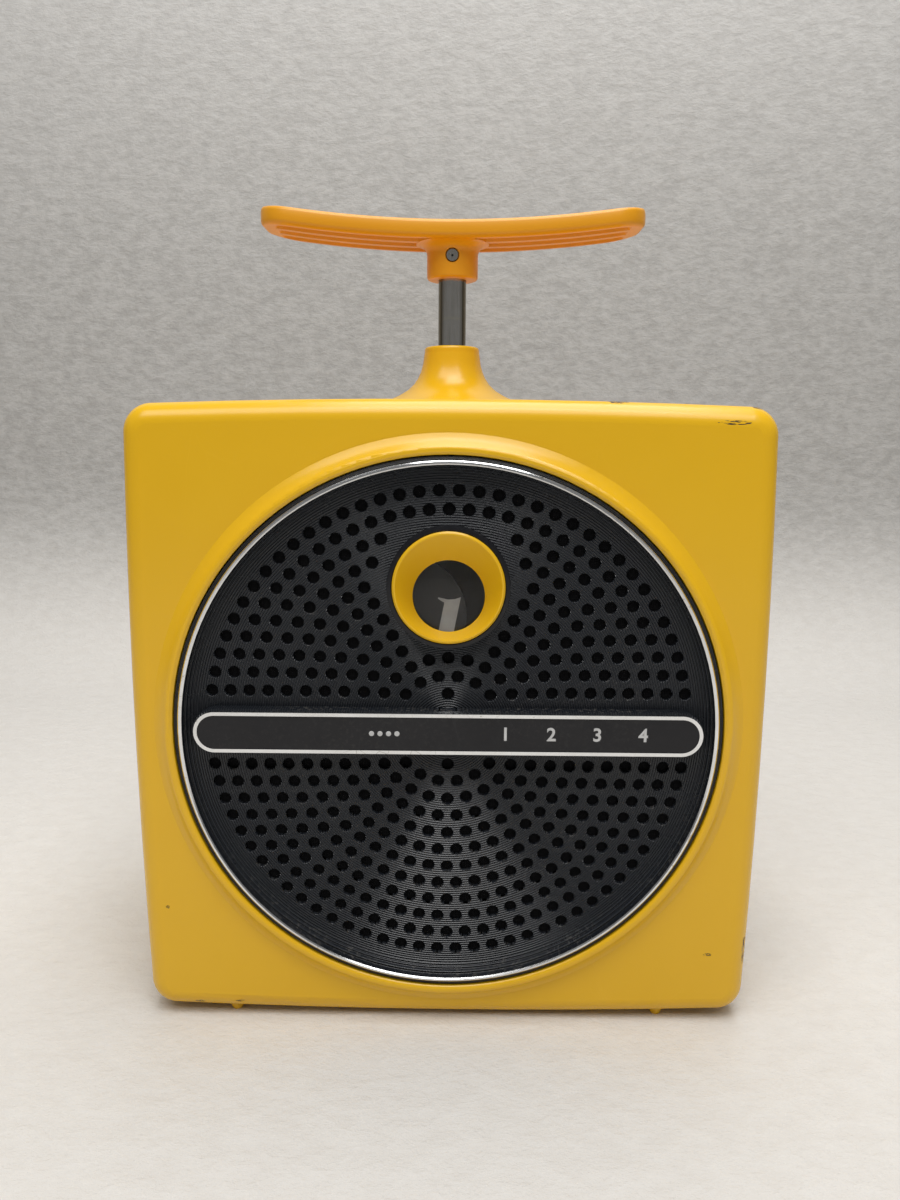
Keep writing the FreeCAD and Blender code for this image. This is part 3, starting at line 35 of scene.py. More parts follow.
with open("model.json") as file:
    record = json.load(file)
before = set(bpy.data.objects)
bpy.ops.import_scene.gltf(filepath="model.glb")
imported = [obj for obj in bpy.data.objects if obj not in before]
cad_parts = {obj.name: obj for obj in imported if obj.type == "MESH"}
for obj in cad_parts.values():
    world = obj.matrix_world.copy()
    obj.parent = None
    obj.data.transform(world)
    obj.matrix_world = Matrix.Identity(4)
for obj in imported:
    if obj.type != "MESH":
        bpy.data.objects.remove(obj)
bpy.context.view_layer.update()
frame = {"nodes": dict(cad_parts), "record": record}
MM = 0.001
SKIN = 0.000006  # depth of the finest surface relief


# ---------------- places read from the frame

def corners(points):
    """The low and high corners of the box round some points."""
    sides = list(zip(*points))
    return Vector([min(side) for side in sides]), Vector([max(side) for side in sides])


def middle(node):
    """The middle of a CAD node's box."""
    low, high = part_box(node)
    return (low + high) / 2


def radius_of(node):
    """Half the width of a CAD node."""
    low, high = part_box(node)
    return (high.x - low.x) / 2


RING = middle("grille_trim_ring")
RING_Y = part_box("grille_trim_ring")[0].y
TRIM_RADIUS = radius_of("grille_trim_ring")
TRIM_WIDTH = 1.2 * MM
PAN_RADIUS = TRIM_RADIUS + 1.3 * MM
RIM_INNER = TRIM_RADIUS - 4.3 * MM
FIELD_RADIUS = RIM_INNER - 1.0 * MM
GRILLE_Y = RING_Y + 5.0 * MM
GRILLE_THICK = 1.5 * MM
GRILLE_BACK = GRILLE_Y + GRILLE_THICK
WINDOW = middle("indicator_bezel")
WINDOW_RISE = WINDOW.z - RING.z
BEZEL_RADIUS = radius_of("indicator_bezel")
COLLAR_RADIUS = BEZEL_RADIUS + 1.55 * MM
HALF_BAR_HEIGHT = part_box("name_bar_trim")[1].z - middle("name_bar_trim").z
HALF_BAR_LENGTH = radius_of("name_bar_trim")
HOLE_PITCH = 5.48 * MM
HOLE_RADIUS = 1.8 * MM
HOLE_RINGS = 13
HOLE_MARGIN = 3.4 * MM


# ---------------- node helpers

class Value:
    """A node's output, with arithmetic that adds nodes beside it."""

    def __init__(self, socket):
        self.socket = socket
        self.tree = socket.id_data

    def __getitem__(self, label):
        """Another output of the same node."""
        return Value(self.socket.node.outputs[label])

    def math(self, operation, *others):
        return wire(self.tree, "ShaderNodeMath", (self, *others), operation=operation)

    def __add__(self, other):
        return self.math("ADD", other)

    def __sub__(self, other):
        return self.math("SUBTRACT", other)

    def __rsub__(self, other):
        return wire(self.tree, "ShaderNodeMath", (other, self), operation="SUBTRACT")

    def __mul__(self, other):
        return self.math("MULTIPLY", other)

    def __truediv__(self, other):
        return self.math("DIVIDE", other)

    def vector(self, operation, *others, out=0):
        return wire(self.tree, "ShaderNodeVectorMath", (self, *others), out, operation=operation)

    def length(self):
        return self.vector("LENGTH", out="Value")

    def scaled(self, factor):
        inputs = {0: self, "Scale": factor}
        return wire(self.tree, "ShaderNodeVectorMath", inputs, operation="SCALE")

    def split(self):
        return wire(self.tree, "ShaderNodeSeparateXYZ", (self,))

    def band(self, low, high, start=0.0, end=1.0, kind="SMOOTHSTEP"):
        """A ramp from start to end as the value goes from low to high."""
        return wire(self.tree, "ShaderNodeMapRange", {
            "Value": self, "From Min": low, "From Max": high, "To Min": start, "To Max": end,
        }, "Result", interpolation_type=kind)

    def mix(self, first, second):
        """A colour between two, with this value as the share of the second."""
        return wire(self.tree, "ShaderNodeMix", {0: self, 6: first, 7: second}, 2, data_type="RGBA")

    def noise(self, scale, detail=3.0, rough=0.55):
        inputs = {"Vector": self, "Scale": scale, "Detail": detail, "Roughness": rough}
        return wire(self.tree, "ShaderNodeTexNoise", inputs, "Fac")


def feed(value, socket):
    """Links a Value to a socket, or sets a plain value there. Colours are given without alpha."""
    if isinstance(value, Value):
        value.tree.links.new(value.socket, socket)
    else:
        socket.default_value = (*value, 1.0) if socket.type == "RGBA" else value


def wire(tree, kind, inputs=(), out=0, **settings):
    """Adds a node, sets its options, links or sets its inputs, and gives one of its outputs."""
    node = tree.nodes.new(kind)
    for key, value in settings.items():
        setattr(node, key, value)
    for key, value in inputs.items() if isinstance(inputs, dict) else enumerate(inputs):
        feed(value, node.inputs[key])
    return Value(node.outputs[out])


def here(tree):
    """The place on the object."""
    return wire(tree, "ShaderNodeTexCoord", out="Object")


def combine(tree, x=0.0, y=0.0, z=0.0):
    return wire(tree, "ShaderNodeCombineXYZ", (x, y, z))


SOCKETS = {"": "Float", "count": "Int", "colour": "Color", "vector": "Vector",
           "shape": "Geometry", "finish": "Material"}


def group(name, inputs, outputs, kind="ShaderNodeTree"):
    """An empty node group. Its sockets are written "Label", or "Label=sort" if not a value."""
    tree = bpy.data.node_groups.new(name, kind)
    for direction, labels in (("INPUT", inputs), ("OUTPUT", outputs)):
        for item in labels.split(", "):
            label, _, sort = item.partition("=")
            tree.interface.new_socket(
                name=label, in_out=direction, socket_type="NodeSocket" + SOCKETS[sort])
    given = Value(tree.nodes.new("NodeGroupInput").outputs[0])
    return tree, given, tree.nodes.new("NodeGroupOutput").inputs


# ---------------- shared surface effects

def moulding_effect():
    """Moulded plastic: slow colour drift, fine skin texture and uneven polish."""
    tree, given, result = group(
        "moulding", "Base=colour, Shade=colour, Drift Scale, Skin Scale, Polish, Polish Spread",
        "Color=colour, Roughness, Height")
    place = here(tree)
    drift = place.noise(given["Drift Scale"], 4.0, 0.6).band(0.3, 0.75)
    smear = place.noise(34.0, 5.0, 0.65) - 0.5
    feed(drift.mix(given["Base"], given["Shade"]), result["Color"])
    feed(smear * given["Polish Spread"] + given["Polish"], result["Roughness"])
    feed(place.noise(given["Skin Scale"], 2.0, 0.5), result["Height"])
    return tree


def scuff_effect():
    """Hair-thin handling scratches, as a mask."""
    tree, given, result = group("scuffs", "Scale, Amount, Stretch=vector", "Mask")
    place = here(tree)
    warp = wire(tree, "ShaderNodeTexNoise", {"Vector": place, "Scale": 30.0, "Detail": 2.0},
                "Color")
    bent = warp.vector("MULTIPLY", (0.012, 0.012, 0.012))
    moved = place.vector("MULTIPLY", given["Stretch"]).vector("ADD", bent)
    cells = wire(tree, "ShaderNodeTexVoronoi", {"Vector": moved, "Scale": given["Scale"]},
                 "Distance", feature="DISTANCE_TO_EDGE")
    patch = place.noise(22.0).band(0.5, 0.72)
    feed(cells.band(0.0, 0.012, 1.0, 0.0) * patch * given["Amount"], result["Mask"])
    return tree


def chip_effect():
    """A knocked spot: the finish is gone in streaks inside a small ball."""
    tree, given, result = group("chip", "Place=vector, Reach=vector, Keep", "Mask")
    place, keep = given["Place"], given["Keep"]
    scaled = here(tree).vector("SUBTRACT", place).vector("DIVIDE", given["Reach"])
    inside = scaled.length().band(0.45, 1.0, 1.0, 0.0)
    shifted = place.vector("MULTIPLY_ADD", (130.0, 130.0, 130.0), scaled)
    kept = inside * shifted.noise(3.4, 5.0, 0.65).band(0.36, 0.64)
    feed(kept.band(keep, keep + 0.03, kind="LINEAR"), result["Mask"])
    return tree


def edge_rub_effect():
    """Rub along the edges of a block, where the surface is near two of its faces at once."""
    tree, given, result = group("edge_rub", "Middle=vector, Half=vector, Width, Amount", "Mask")
    place = here(tree)
    away = place.vector("SUBTRACT", given["Middle"]).vector("ABSOLUTE")
    gap = given["Half"].vector("SUBTRACT", away).split()
    near = [gap[i].band(0.0, given["Width"], 1.0, 0.0, kind="LINEAR") for i in range(3)]
    edge = (near[0] * near[1]).math("MAXIMUM", near[1] * near[2])
    edge = edge.math("MAXIMUM", near[0] * near[2])
    patches = place.noise(26.0, 3.0, 0.5).band(0.45, 0.7)
    worn = edge * place.noise(420.0, 6.0, 0.75) * patches
    cut = 0.62 - given["Amount"]
    feed(worn.band(cut, cut + 0.04, kind="LINEAR"), result["Mask"])
    return tree


def turned_rings_effect():
    """Fine rings turned round an axis along Y: a height, a mask of their tops and a normal."""
    tree, given, result = group(
        "turned_rings", "Centre=vector, Pitch, Slope", "Height, Crest, Normal=vector")
    flat = here(tree).vector("SUBTRACT", given["Centre"]).vector("MULTIPLY", (1.0, 0.0, 1.0))
    turns = flat.length() / given["Pitch"] * (2 * math.pi)
    swing = turns.math("SINE") * 0.5 + 0.5
    feed(swing, result["Height"])
    feed(swing.band(0.6, 0.95), result["Crest"])
    lean = flat.vector("NORMALIZE").scaled(turns.math("COSINE") * given["Slope"])
    tilted = wire(tree, "ShaderNodeNewGeometry", out="Normal").vector("SUBTRACT", lean)
    feed(tilted.vector("NORMALIZE"), result["Normal"])
    return tree


def grain_effect():
    """Drawn or brushed metal: streaks stretched along one direction."""
    tree, given, result = group(
        "metal_grain", "Stretch=vector, Polish, Polish Spread", "Roughness, Height, Streak")
    place = here(tree)
    streak = place.vector("MULTIPLY", given["Stretch"]).noise(1.0, 5.0, 0.7)
    both = (place.noise(60.0, 4.0, 0.6) + streak) * 0.5
    feed((both - 0.5) * given["Polish Spread"] + given["Polish"], result["Roughness"])
    feed(streak, result["Height"])
    feed(both.band(0.35, 0.7), result["Streak"])
    return tree


def weave_effect():
    """Plain weave of threads across X and Z: a height and a mask of the gaps."""
    tree, given, result = group("weave", "Pitch", "Height, Gap")
    sides = here(tree).split()
    across, up = [(sides[i] / given["Pitch"] * math.pi).math("SINE").math("ABSOLUTE")
                  for i in (0, 2)]
    height = across.math("MAXIMUM", up)
    feed(height, result["Height"])
    feed(height.band(0.35, 0.6, 1.0, 0.0), result["Gap"])
    return tree


def dust_effect():
    """Dust that lies on what faces up and gathers in soft patches."""
    tree, given, result = group("dust", "Amount", "Mask")
    place = here(tree)
    facing = wire(tree, "ShaderNodeNewGeometry", out="Normal").split()[2]
    specks = place.noise(700.0, 3.0, 0.7).band(0.5, 0.66)
    cloud = place.noise(40.0, 4.0).band(0.35, 0.7)
    fall = specks * cloud * facing.band(0.1, 0.95, 0.15, 1.0)
    feed(fall * given["Amount"], result["Mask"])
    return tree


EFFECTS = {
    "moulding": moulding_effect(),
    "scuffs": scuff_effect(),
    "chip": chip_effect(),
    "edge_rub": edge_rub_effect(),
    "rings": turned_rings_effect(),
    "grain": grain_effect(),
    "weave": weave_effect(),
    "dust": dust_effect(),
}


# ---------------- finishes

class Finish:
    """A new material with its uniform shader sockets set."""

    def __init__(self, name, **sockets):
        self.name = name
        self.material = bpy.data.materials.new(name)
        self.material.use_nodes = True
        self.tree = self.material.node_tree
        self.shader = self.tree.nodes["Principled BSDF"]
        self.give(**sockets)

    def give(self, **sockets):
        """Sets or links sockets of the shader."""
        for label, value in sockets.items():
            feed(value, self.shader.inputs[label.replace("_", " ")])

    def effect(self, name, **inputs):
        """One of the shared effects placed in the material."""
        named = {label.replace("_", " "): value for label, value in inputs.items()}
        return wire(self.tree, "ShaderNodeGroup", named, node_tree=EFFECTS[name])

    def bump(self, height, depth, **under):
        """Turns a height of the given depth in metres into the shader's normal."""
        inputs = {"Height": height, "Distance": depth, "Strength": 1.0, **under}
        self.give(Normal=wire(self.tree, "ShaderNodeBump", inputs))


def plastic(name, base, shade, polish, spread, drift=18.0, skin=900.0, depth=0.00001,
            dust=0.0, scuff=0.0, **sockets):
    """Moulded plastic with its skin, handling scratches and dust."""
    finish = Finish(name, **sockets)
    look = finish.effect("moulding", Base=base, Shade=shade, Drift_Scale=drift, Skin_Scale=skin,
                         Polish=polish, Polish_Spread=spread)
    paint, rough = look["Color"], look["Roughness"]
    if scuff:
        marks = finish.effect("scuffs", Scale=60.0, Amount=scuff, Stretch=(1.0, 1.0, 0.35))
        paint = marks.mix(paint, [min(1.0, part * 1.35 + 0.03) for part in base])
        rough = marks * 0.25 + rough
    if dust:
        fall = finish.effect("dust", Amount=dust)
        paint = fall.mix(paint, (0.42, 0.39, 0.34))
        rough = fall * 0.3 + rough
    finish.give(Base_Color=paint, Roughness=rough)
    finish.bump(look["Height"], depth)
    finish.paint, finish.rough, finish.height = paint, rough, look["Height"]
    return finish


CHIPS = [
    # knocked spots: place, reach each way, how much finish is kept
    ((0.0478, -0.0513, 0.1910), (0.0042, 0.0022, 0.0016), 0.44),
    ((0.0797, -0.0560, 0.1854), (0.0066, 0.0018, 0.0009), 0.46),
    ((0.0872, -0.0512, 0.1897), (0.0030, 0.0022, 0.0014), 0.46),
    ((-0.0860, -0.0560, 0.0375), (0.0009, 0.0009, 0.0007), 0.38),
    ((-0.0777, -0.0552, 0.0050), (0.0024, 0.0020, 0.0010), 0.46),
    ((-0.0649, -0.0556, 0.0056), (0.0020, 0.0020, 0.0008), 0.46),
    ((0.0810, -0.0560, 0.0235), (0.0020, 0.0015, 0.0007), 0.44),
    ((0.0927, -0.0535, 0.0240), (0.0013, 0.0025, 0.0075), 0.47),
]
NECK_RISE = 19.0 * MM


def case_finish():
    """Glossy yellow case, knocked along its edges."""
    finish = plastic("case_yellow", (0.800, 0.462, 0.010), (0.760, 0.432, 0.006), 0.25, 0.08,
                     drift=9.0, skin=520.0, depth=SKIN, dust=0.06, scuff=0.06, IOR=1.5)
    low, high = corners([*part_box("front_housing"), *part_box("rear_housing")])
    high.z -= NECK_RISE
    half = (high - low) / 2
    worn = finish.effect("edge_rub", Middle=low + half, Half=half, Width=0.0075, Amount=0.10)
    for place, reach, keep in CHIPS:
        spot = finish.effect("chip", Place=place, Reach=reach, Keep=keep)
        worn = worn.math("MAXIMUM", spot)
    finish.give(Base_Color=worn.mix(finish.paint, (0.038, 0.022, 0.010)),
                Roughness=worn * 0.4 + finish.rough)
    finish.bump(finish.height - worn * 6.0, SKIN)
    return finish


def grille_finish():
    """Black disc with fine turned rings and a painted sheen on their crests; dust greys it in
    patches.
    """
    finish = Finish("grille_black", IOR=1.5)
    look = finish.effect("moulding", Base=(0.008, 0.010, 0.014), Shade=(0.012, 0.014, 0.018),
                         Drift_Scale=30.0, Skin_Scale=1500.0, Polish=0.27, Polish_Spread=0.10)
    rings = finish.effect("rings", Centre=(RING.x, 0.0, RING.z), Pitch=0.72 * MM, Slope=1.2)
    # painted sheen: the tops of the turned rings are mixed towards a paler bluish grey
    crest_sheen = (rings["Crest"] * 0.30).mix(look, (0.055, 0.060, 0.068))
    dusty = finish.effect("dust", Amount=0.35).mix(crest_sheen, (0.26, 0.24, 0.21))
    finish.give(Base_Color=dusty, Roughness=look["Roughness"])
    finish.bump(look["Height"], SKIN, Normal=rings["Normal"])
    return finish


def metal(name, base, tint, polish, spread, stretch, depth=SKIN, streaks=0.5):
    """Metal with streaks along the way it was drawn, rolled or turned."""
    finish = Finish(name, Metallic=1.0)
    look = finish.effect("grain", Stretch=stretch, Polish=polish, Polish_Spread=spread)
    finish.paint = (look["Streak"] * streaks).mix(base, tint)
    finish.give(Base_Color=finish.paint, Roughness=look["Roughness"])
    finish.bump(look["Height"], depth)
    return finish


def chrome_finish():
    """Bright trim with small nicks and yellowed specks."""
    finish = metal("chrome_trim", (0.80, 0.81, 0.82), (0.62, 0.62, 0.61), 0.13, 0.14,
                   (160.0, 160.0, 160.0), 0.000004)
    nicks = finish.effect("scuffs", Scale=190.0, Amount=0.9, Stretch=(1.0, 1.0, 1.0))
    specks = here(finish.tree).noise(620.0, 4.0).band(0.66, 0.74)
    worn = nicks.math("MAXIMUM", specks * 0.5)
    finish.give(Base_Color=worn.mix(finish.paint, (0.20, 0.17, 0.12)))
    return finish


def shaft_finish():
    """Polished plunger tube with painted shade darkening it to its sides, and a faint ring where
    its bush rubs.
    """
    finish = metal("polished_steel", (0.66, 0.64, 0.60), (0.38, 0.355, 0.30), 0.17, 0.16,
                   (900.0, 900.0, 30.0), 0.000003, streaks=0.8)
    place = here(finish.tree)
    ring_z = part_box("plunger_handle")[0].z - 12.5 * MM
    wobble = (place.noise(500.0) - 0.5) * (1.2 * MM)
    away = (place.split()[2] - ring_z + wobble).math("ABSOLUTE")
    rubbed = away.band(0.1 * MM, 0.6 * MM, 0.55, 0.0).mix(finish.paint, (0.66, 0.62, 0.50))
    # painted shade: the tube is mixed darker and browner towards its sides as the camera sees them
    facing = wire(finish.tree, "ShaderNodeLayerWeight", {"Blend": 0.5}, "Facing")
    finish.give(Base_Color=facing.band(0.10, 0.42).mix(rubbed, (0.21, 0.175, 0.115)))
    return finish


def cloth_finish():
    """Plain black weave, with painted shade darkest between its threads."""
    finish = Finish("cloth_black", IOR=1.2)
    threads = finish.effect("weave", Pitch=0.55 * MM)
    fibre = here(finish.tree).noise(1400.0)
    yarn = fibre.mix((0.003, 0.003, 0.0035), (0.009, 0.009, 0.010))
    # painted shade: the gaps between the threads are mixed darker still
    finish.give(Base_Color=threads["Gap"].mix(yarn, (0.0008, 0.0008, 0.0008)),
                Roughness=fibre * 0.15 + 0.8)
    finish.bump(threads["Height"], 0.15 * MM)
    return finish


def lens_finish():
    """Clear lens, a little scratched; shadow rays pass it, so that the dial is lit."""
    finish = Finish("lens_clear", Transmission_Weight=1.0, IOR=1.27)
    look = finish.effect("moulding", Base=(0.95, 0.96, 0.96), Shade=(0.90, 0.91, 0.91),
                         Drift_Scale=60.0, Skin_Scale=300.0, Polish=0.02, Polish_Spread=0.03)
    marks = finish.effect("scuffs", Scale=260.0, Amount=0.25, Stretch=(1.0, 1.0, 1.0))
    finish.give(Base_Color=look, Roughness=look["Roughness"] + marks)
    finish.bump(look["Height"], 0.000004)
    clear = wire(finish.tree, "ShaderNodeBsdfTransparent", {"Color": (0.93, 0.94, 0.94)})
    shadow = wire(finish.tree, "ShaderNodeLightPath", out="Is Shadow Ray")
    glass = Value(finish.shader.outputs[0])
    mixed = wire(finish.tree, "ShaderNodeMixShader", (shadow, glass, clear))
    feed(mixed, finish.tree.nodes["Material Output"].inputs["Surface"])
    return finish


def ink_finish(name, grey):
    """Printed silver-grey ink, thin in places."""
    return plastic(name, (grey,) * 3, (grey * 0.8,) * 3, 0.42, 0.12, drift=220.0, skin=2600.0,
                   depth=SKIN, scuff=0.2).material


def paper_finish():
    """Pressed paper: fibres and turned ridges."""
    finish = Finish("paper_cone", IOR=1.4, Sheen_Weight=0.1)
    fibre = here(finish.tree).noise(520.0, 6.0, 0.75)
    centre = middle("speaker_cone")
    rings = finish.effect("rings", Centre=(centre.x, 0.0, centre.z), Pitch=1.7 * MM)
    finish.give(Base_Color=fibre.mix((0.020, 0.019, 0.018), (0.050, 0.048, 0.045)),
                Roughness=fibre * 0.2 + 0.75)
    finish.bump(fibre + rings["Height"], 0.12 * MM)
    return finish


FINISHES = {finish.name: finish.material for finish in (
    case_finish(),
    plastic("handle_orange", (0.760, 0.335, 0.008), (0.730, 0.312, 0.006), 0.36, 0.12,
            drift=24.0, skin=1500.0, dust=0.08, scuff=0.08, Subsurface_Weight=0.01,
            Subsurface_Radius=(0.004, 0.002, 0.0005), Subsurface_Scale=1.0, IOR=1.46),
    grille_finish(),
    plastic("bar_black", (0.008, 0.008, 0.010), (0.012, 0.012, 0.014), 0.22, 0.08, drift=60.0,
            skin=1400.0, depth=0.000004, dust=0.15, scuff=0.2, Specular_IOR_Level=0.3),
    chrome_finish(),
    cloth_finish(),
    lens_finish(),
    metal("steel", (0.56, 0.55, 0.52), (0.44, 0.42, 0.37), 0.34, 0.22, (220.0, 220.0, 40.0)),
    shaft_finish(),
    plastic("magnet_dark", (0.055, 0.055, 0.060), (0.085, 0.082, 0.080), 0.62, 0.2,
            skin=600.0, depth=0.00004, dust=0.3),
    paper_finish(),
    metal("brass", (0.62, 0.45, 0.19), (0.46, 0.31, 0.12), 0.26, 0.2, (700.0, 60.0, 700.0)),
    plastic("bush_nylon", (0.66, 0.63, 0.55), (0.58, 0.55, 0.46), 0.46, 0.14, skin=800.0,
            Subsurface_Weight=0.15, Subsurface_Radius=(0.003, 0.003, 0.002),
            Subsurface_Scale=1.0),
    plastic("black_plastic", (0.022, 0.022, 0.024), (0.034, 0.033, 0.033), 0.46, 0.16,
            skin=2200.0, depth=0.00003, dust=0.25, scuff=0.3),
    plastic("rubber_belt", (0.020, 0.020, 0.020), (0.036, 0.035, 0.034), 0.72, 0.14,
            skin=1200.0, depth=0.00002),
    plastic("board_brown", (0.250, 0.140, 0.050), (0.190, 0.100, 0.036), 0.50, 0.16,
            drift=90.0, skin=1800.0, depth=0.00002),
    plastic("capacitor_blue", (0.030, 0.070, 0.180), (0.024, 0.052, 0.140), 0.30, 0.14,
            skin=700.0),
    metal("aluminium", (0.72, 0.72, 0.72), (0.58, 0.58, 0.57), 0.32, 0.2, (60.0, 700.0, 60.0)),
    plastic("disc_black", (0.006, 0.006, 0.008), (0.010, 0.010, 0.012), 0.55, 0.16,
            drift=120.0, skin=1600.0, depth=0.00002, dust=0.15),
)}
PRINT_SILVER = ink_finish("print_silver", 0.60)
PRINT_GREY = ink_finish("print_grey", 0.40)

for subpart in frame["record"]["subparts"]:
    solid_materials = frame["nodes"][subpart["node"]].data.materials
    solid_materials.clear()
    solid_materials.append(FINISHES[subpart["material_slot"]])


# ---------------- mesh helpers

def arc(steps):
    """A quarter turn in steps, as pairs of a sine and one minus the cosine."""
    turns = [math.pi / 2 * i / steps for i in range(steps + 1)]
    return [(math.sin(turn), 1 - math.cos(turn)) for turn in turns]


def add_object(name, data):
    piece = bpy.data.objects.new(name, data)
    bpy.context.scene.collection.objects.link(piece)
    return piece


def settled(shown, *helpers):
    """The plain mesh that an object shows. The object and its helpers are removed."""
    bpy.context.view_layer.update()
    evaluated = shown.evaluated_get(bpy.context.evaluated_depsgraph_get())
    mesh = bpy.data.meshes.new_from_object(evaluated)
    for thing in (shown, *helpers):
        bpy.data.objects.remove(thing)
    return mesh


def grown(name, tree, places=(), **sizes):
    """The plain mesh that a Geometry Nodes tree makes from a cloud of points."""
    cloud = bpy.data.meshes.new(name)
    cloud.from_pydata(places, [], [])
    holder = add_object(name, cloud)
    modifier = holder.modifiers.new(tree.name, "NODES")
    modifier.node_group = tree
    for item in tree.interface.items_tree:
        label = item.name.replace(" ", "_")
        if item.in_out == "INPUT" and label in sizes:
            modifier[item.identifier] = sizes[label]
    return settled(holder)


def sealed(name, shape):
    """A bmesh as a mesh, its doubled points merged and its faces looking outward."""
    bmesh.ops.remove_doubles(shape, verts=shape.verts, dist=1e-7)
    bmesh.ops.recalc_face_normals(shape, faces=shape.faces)
    mesh = bpy.data.meshes.new(name)
    shape.to_mesh(mesh)
    shape.free()
    return mesh


def skinned(name, loops, ends=True):
    """A closed mesh through loops of points: flat at its ends, or round to the first loop."""
    shape = bmesh.new()
    rings = [[shape.verts.new(point) for point in loop] for loop in loops]
    for first, second in zip(rings, rings[1:] if ends else rings[1:] + rings[:1]):
        for i in range(len(first)):
            shape.faces.new((first[i - 1], first[i], second[i], second[i - 1]))
    if ends:
        shape.faces.new(rings[0])
        shape.faces.new(rings[-1])
    return sealed(name, shape)


def lathe(name, profile, centre, axis="Y", steps=192):
    """A closed section (along, radius) turned round an axis through centre."""
    loops = []
    for step in range(steps):
        turn = 2 * math.pi * step / steps
        loop = [(centre[0] + radius * math.cos(turn), along, centre[1] + radius * math.sin(turn))
                for along, radius in profile]
        loops.append(loop if axis == "Y" else [(x, up, along) for x, along, up in loop])
    return skinned(name, loops, ends=False)


def joined(name, meshes):
    """Several meshes as one."""
    shape = bmesh.new()
    for mesh in meshes:
        shape.from_mesh(mesh)
    whole = bpy.data.meshes.new(name)
    shape.to_mesh(whole)
    shape.free()
    return whole


def place_piece(name, mesh, body, slot, replaced=(), smooth=30.0, material=None):
    """A finished piece: painted, smooth up to an angle in degrees, on its body."""
    mesh.materials.clear()
    mesh.materials.append(material or FINISHES[slot])
    mesh.polygons.foreach_set("material_index", [0] * len(mesh.polygons))
    mesh.polygons.foreach_set("use_smooth", [True] * len(mesh.polygons))
    mesh.set_sharp_from_angle(angle=math.radians(smooth))
    piece = add_object(name, mesh)
    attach(piece, body)
    if replaced:
        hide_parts(*replaced)
    return piece


# ---------------- Geometry Nodes helpers

def geo(tree, kind, inputs=(), out=0, **settings):
    return wire(tree, "GeometryNode" + kind, inputs, out, **settings)


def together(tree, *shapes):
    """Several shapes as one."""
    whole = geo(tree, "JoinGeometry")
    for shape in shapes:
        feed(shape, whole.socket.node.inputs[0])
    return whole


def hand_over(tree, given, shape, result):
    """Makes the instances real, paints the shape and gives it out."""
    plain = geo(tree, "RealizeInstances", (shape,))
    painted = geo(tree, "SetMaterial", {"Geometry": plain, "Material": given["Material"]})
    feed(painted, result["Geometry"])


def sow(tree, given, shape, result):
    """Puts a shape on each point that comes in, and gives the whole out."""
    turn = wire(tree, "FunctionNodeEulerToRotation", (given["Turn"],))
    sown = geo(tree, "InstanceOnPoints", {
        "Points": given["Geometry"], "Instance": shape, "Rotation": turn})
    hand_over(tree, given, sown, result)


# ---------------- grille

def plate_tree():
    """A round plate with the ring rule's holes: ring k has 6k holes, one always at 30 degrees."""
    tree, given, result = group(
        "perforated_plate", "Rings=count, Pitch, Hole Radius, Bevel, Plate Radius, Thickness, "
        "Window Rise, Window Radius, Window Clear, Bar Clear, Front=vector, Material=finish",
        "Geometry=shape", "GeometryNodeTree")
    hole, bevel, thick, rings = [
        given[label] for label in ("Hole Radius", "Bevel", "Thickness", "Rings")]
    index = geo(tree, "InputIndex")
    guard = 0.0005  # keeps a whole number from falling short
    ring = ((index * (4.0 / 3.0) + 1.0).math("SQRT") * 0.5 + (0.5 + guard)).math("FLOOR")
    step = index - ring * 3.0 * (ring - 1.0)
    angle = step / ring * (math.pi / 3) + math.pi / 6
    reach = ring * given["Pitch"]
    up = reach * angle.math("COSINE")
    place = combine(tree, reach * angle.math("SINE"), up)
    dots = geo(tree, "Points", {"Count": rings * 3.0 * (rings + 1.0), "Position": place})
    window = combine(tree, 0.0, given["Window Rise"])
    far = place.vector("DISTANCE", window, out="Value")
    by_bar = up.math("ABSOLUTE").math("LESS_THAN", given["Bar Clear"])
    left_out = far.math("LESS_THAN", given["Window Clear"]).math("MAXIMUM", by_bar)
    holes = geo(tree, "DeleteGeometry", {"Geometry": dots, "Selection": left_out})

    def circle(radius, steps):
        return geo(tree, "CurvePrimitiveCircle", {"Resolution": steps, "Radius": radius})

    edge = circle(given["Plate Radius"], 192)
    eye = geo(tree, "Transform", {
        "Geometry": circle(given["Window Radius"], 72), "Translation": window})
    rims = geo(tree, "InstanceOnPoints", {"Points": holes, "Instance": circle(hole, 16)})
    face = geo(tree, "FillCurve", (
        together(tree, edge, eye, geo(tree, "RealizeInstances", (rims,))),))
    outward = {"Offset": (0.0, 0.0, 1.0), "Individual": False}
    wall = geo(tree, "ExtrudeMesh", {"Mesh": face, "Offset Scale": thick - bevel, **outward})
    lip = geo(tree, "ExtrudeMesh", {
        "Mesh": wall, "Selection": wall["Top"], "Offset Scale": bevel, **outward})
    nearest = geo(tree, "Proximity", (holes,), "Position", target_element="POINTS")
    level = geo(tree, "InputPosition").split()
    from_hole = combine(tree, level[0], level[1]).vector("SUBTRACT", nearest)
    on_rim = from_hole.length().math("LESS_THAN", hole * 1.2)
    on_top = level[2].math("GREATER_THAN", thick - 1e-6)
    opened = geo(tree, "SetPosition", {
        "Geometry": lip, "Selection": on_rim * on_top, "Offset": from_hole.scaled(bevel / hole)})
    shell = together(tree, opened, geo(tree, "FlipFaces", (face,)))
    welded = geo(tree, "MergeByDistance", {"Geometry": shell, "Distance": 1e-7})
    stood = geo(tree, "Transform", {
        "Geometry": welded, "Rotation": (math.pi / 2, 0.0, 0.0), "Translation": given["Front"]})
    hand_over(tree, given, stood, result)
    return tree


PLATE = plate_tree()


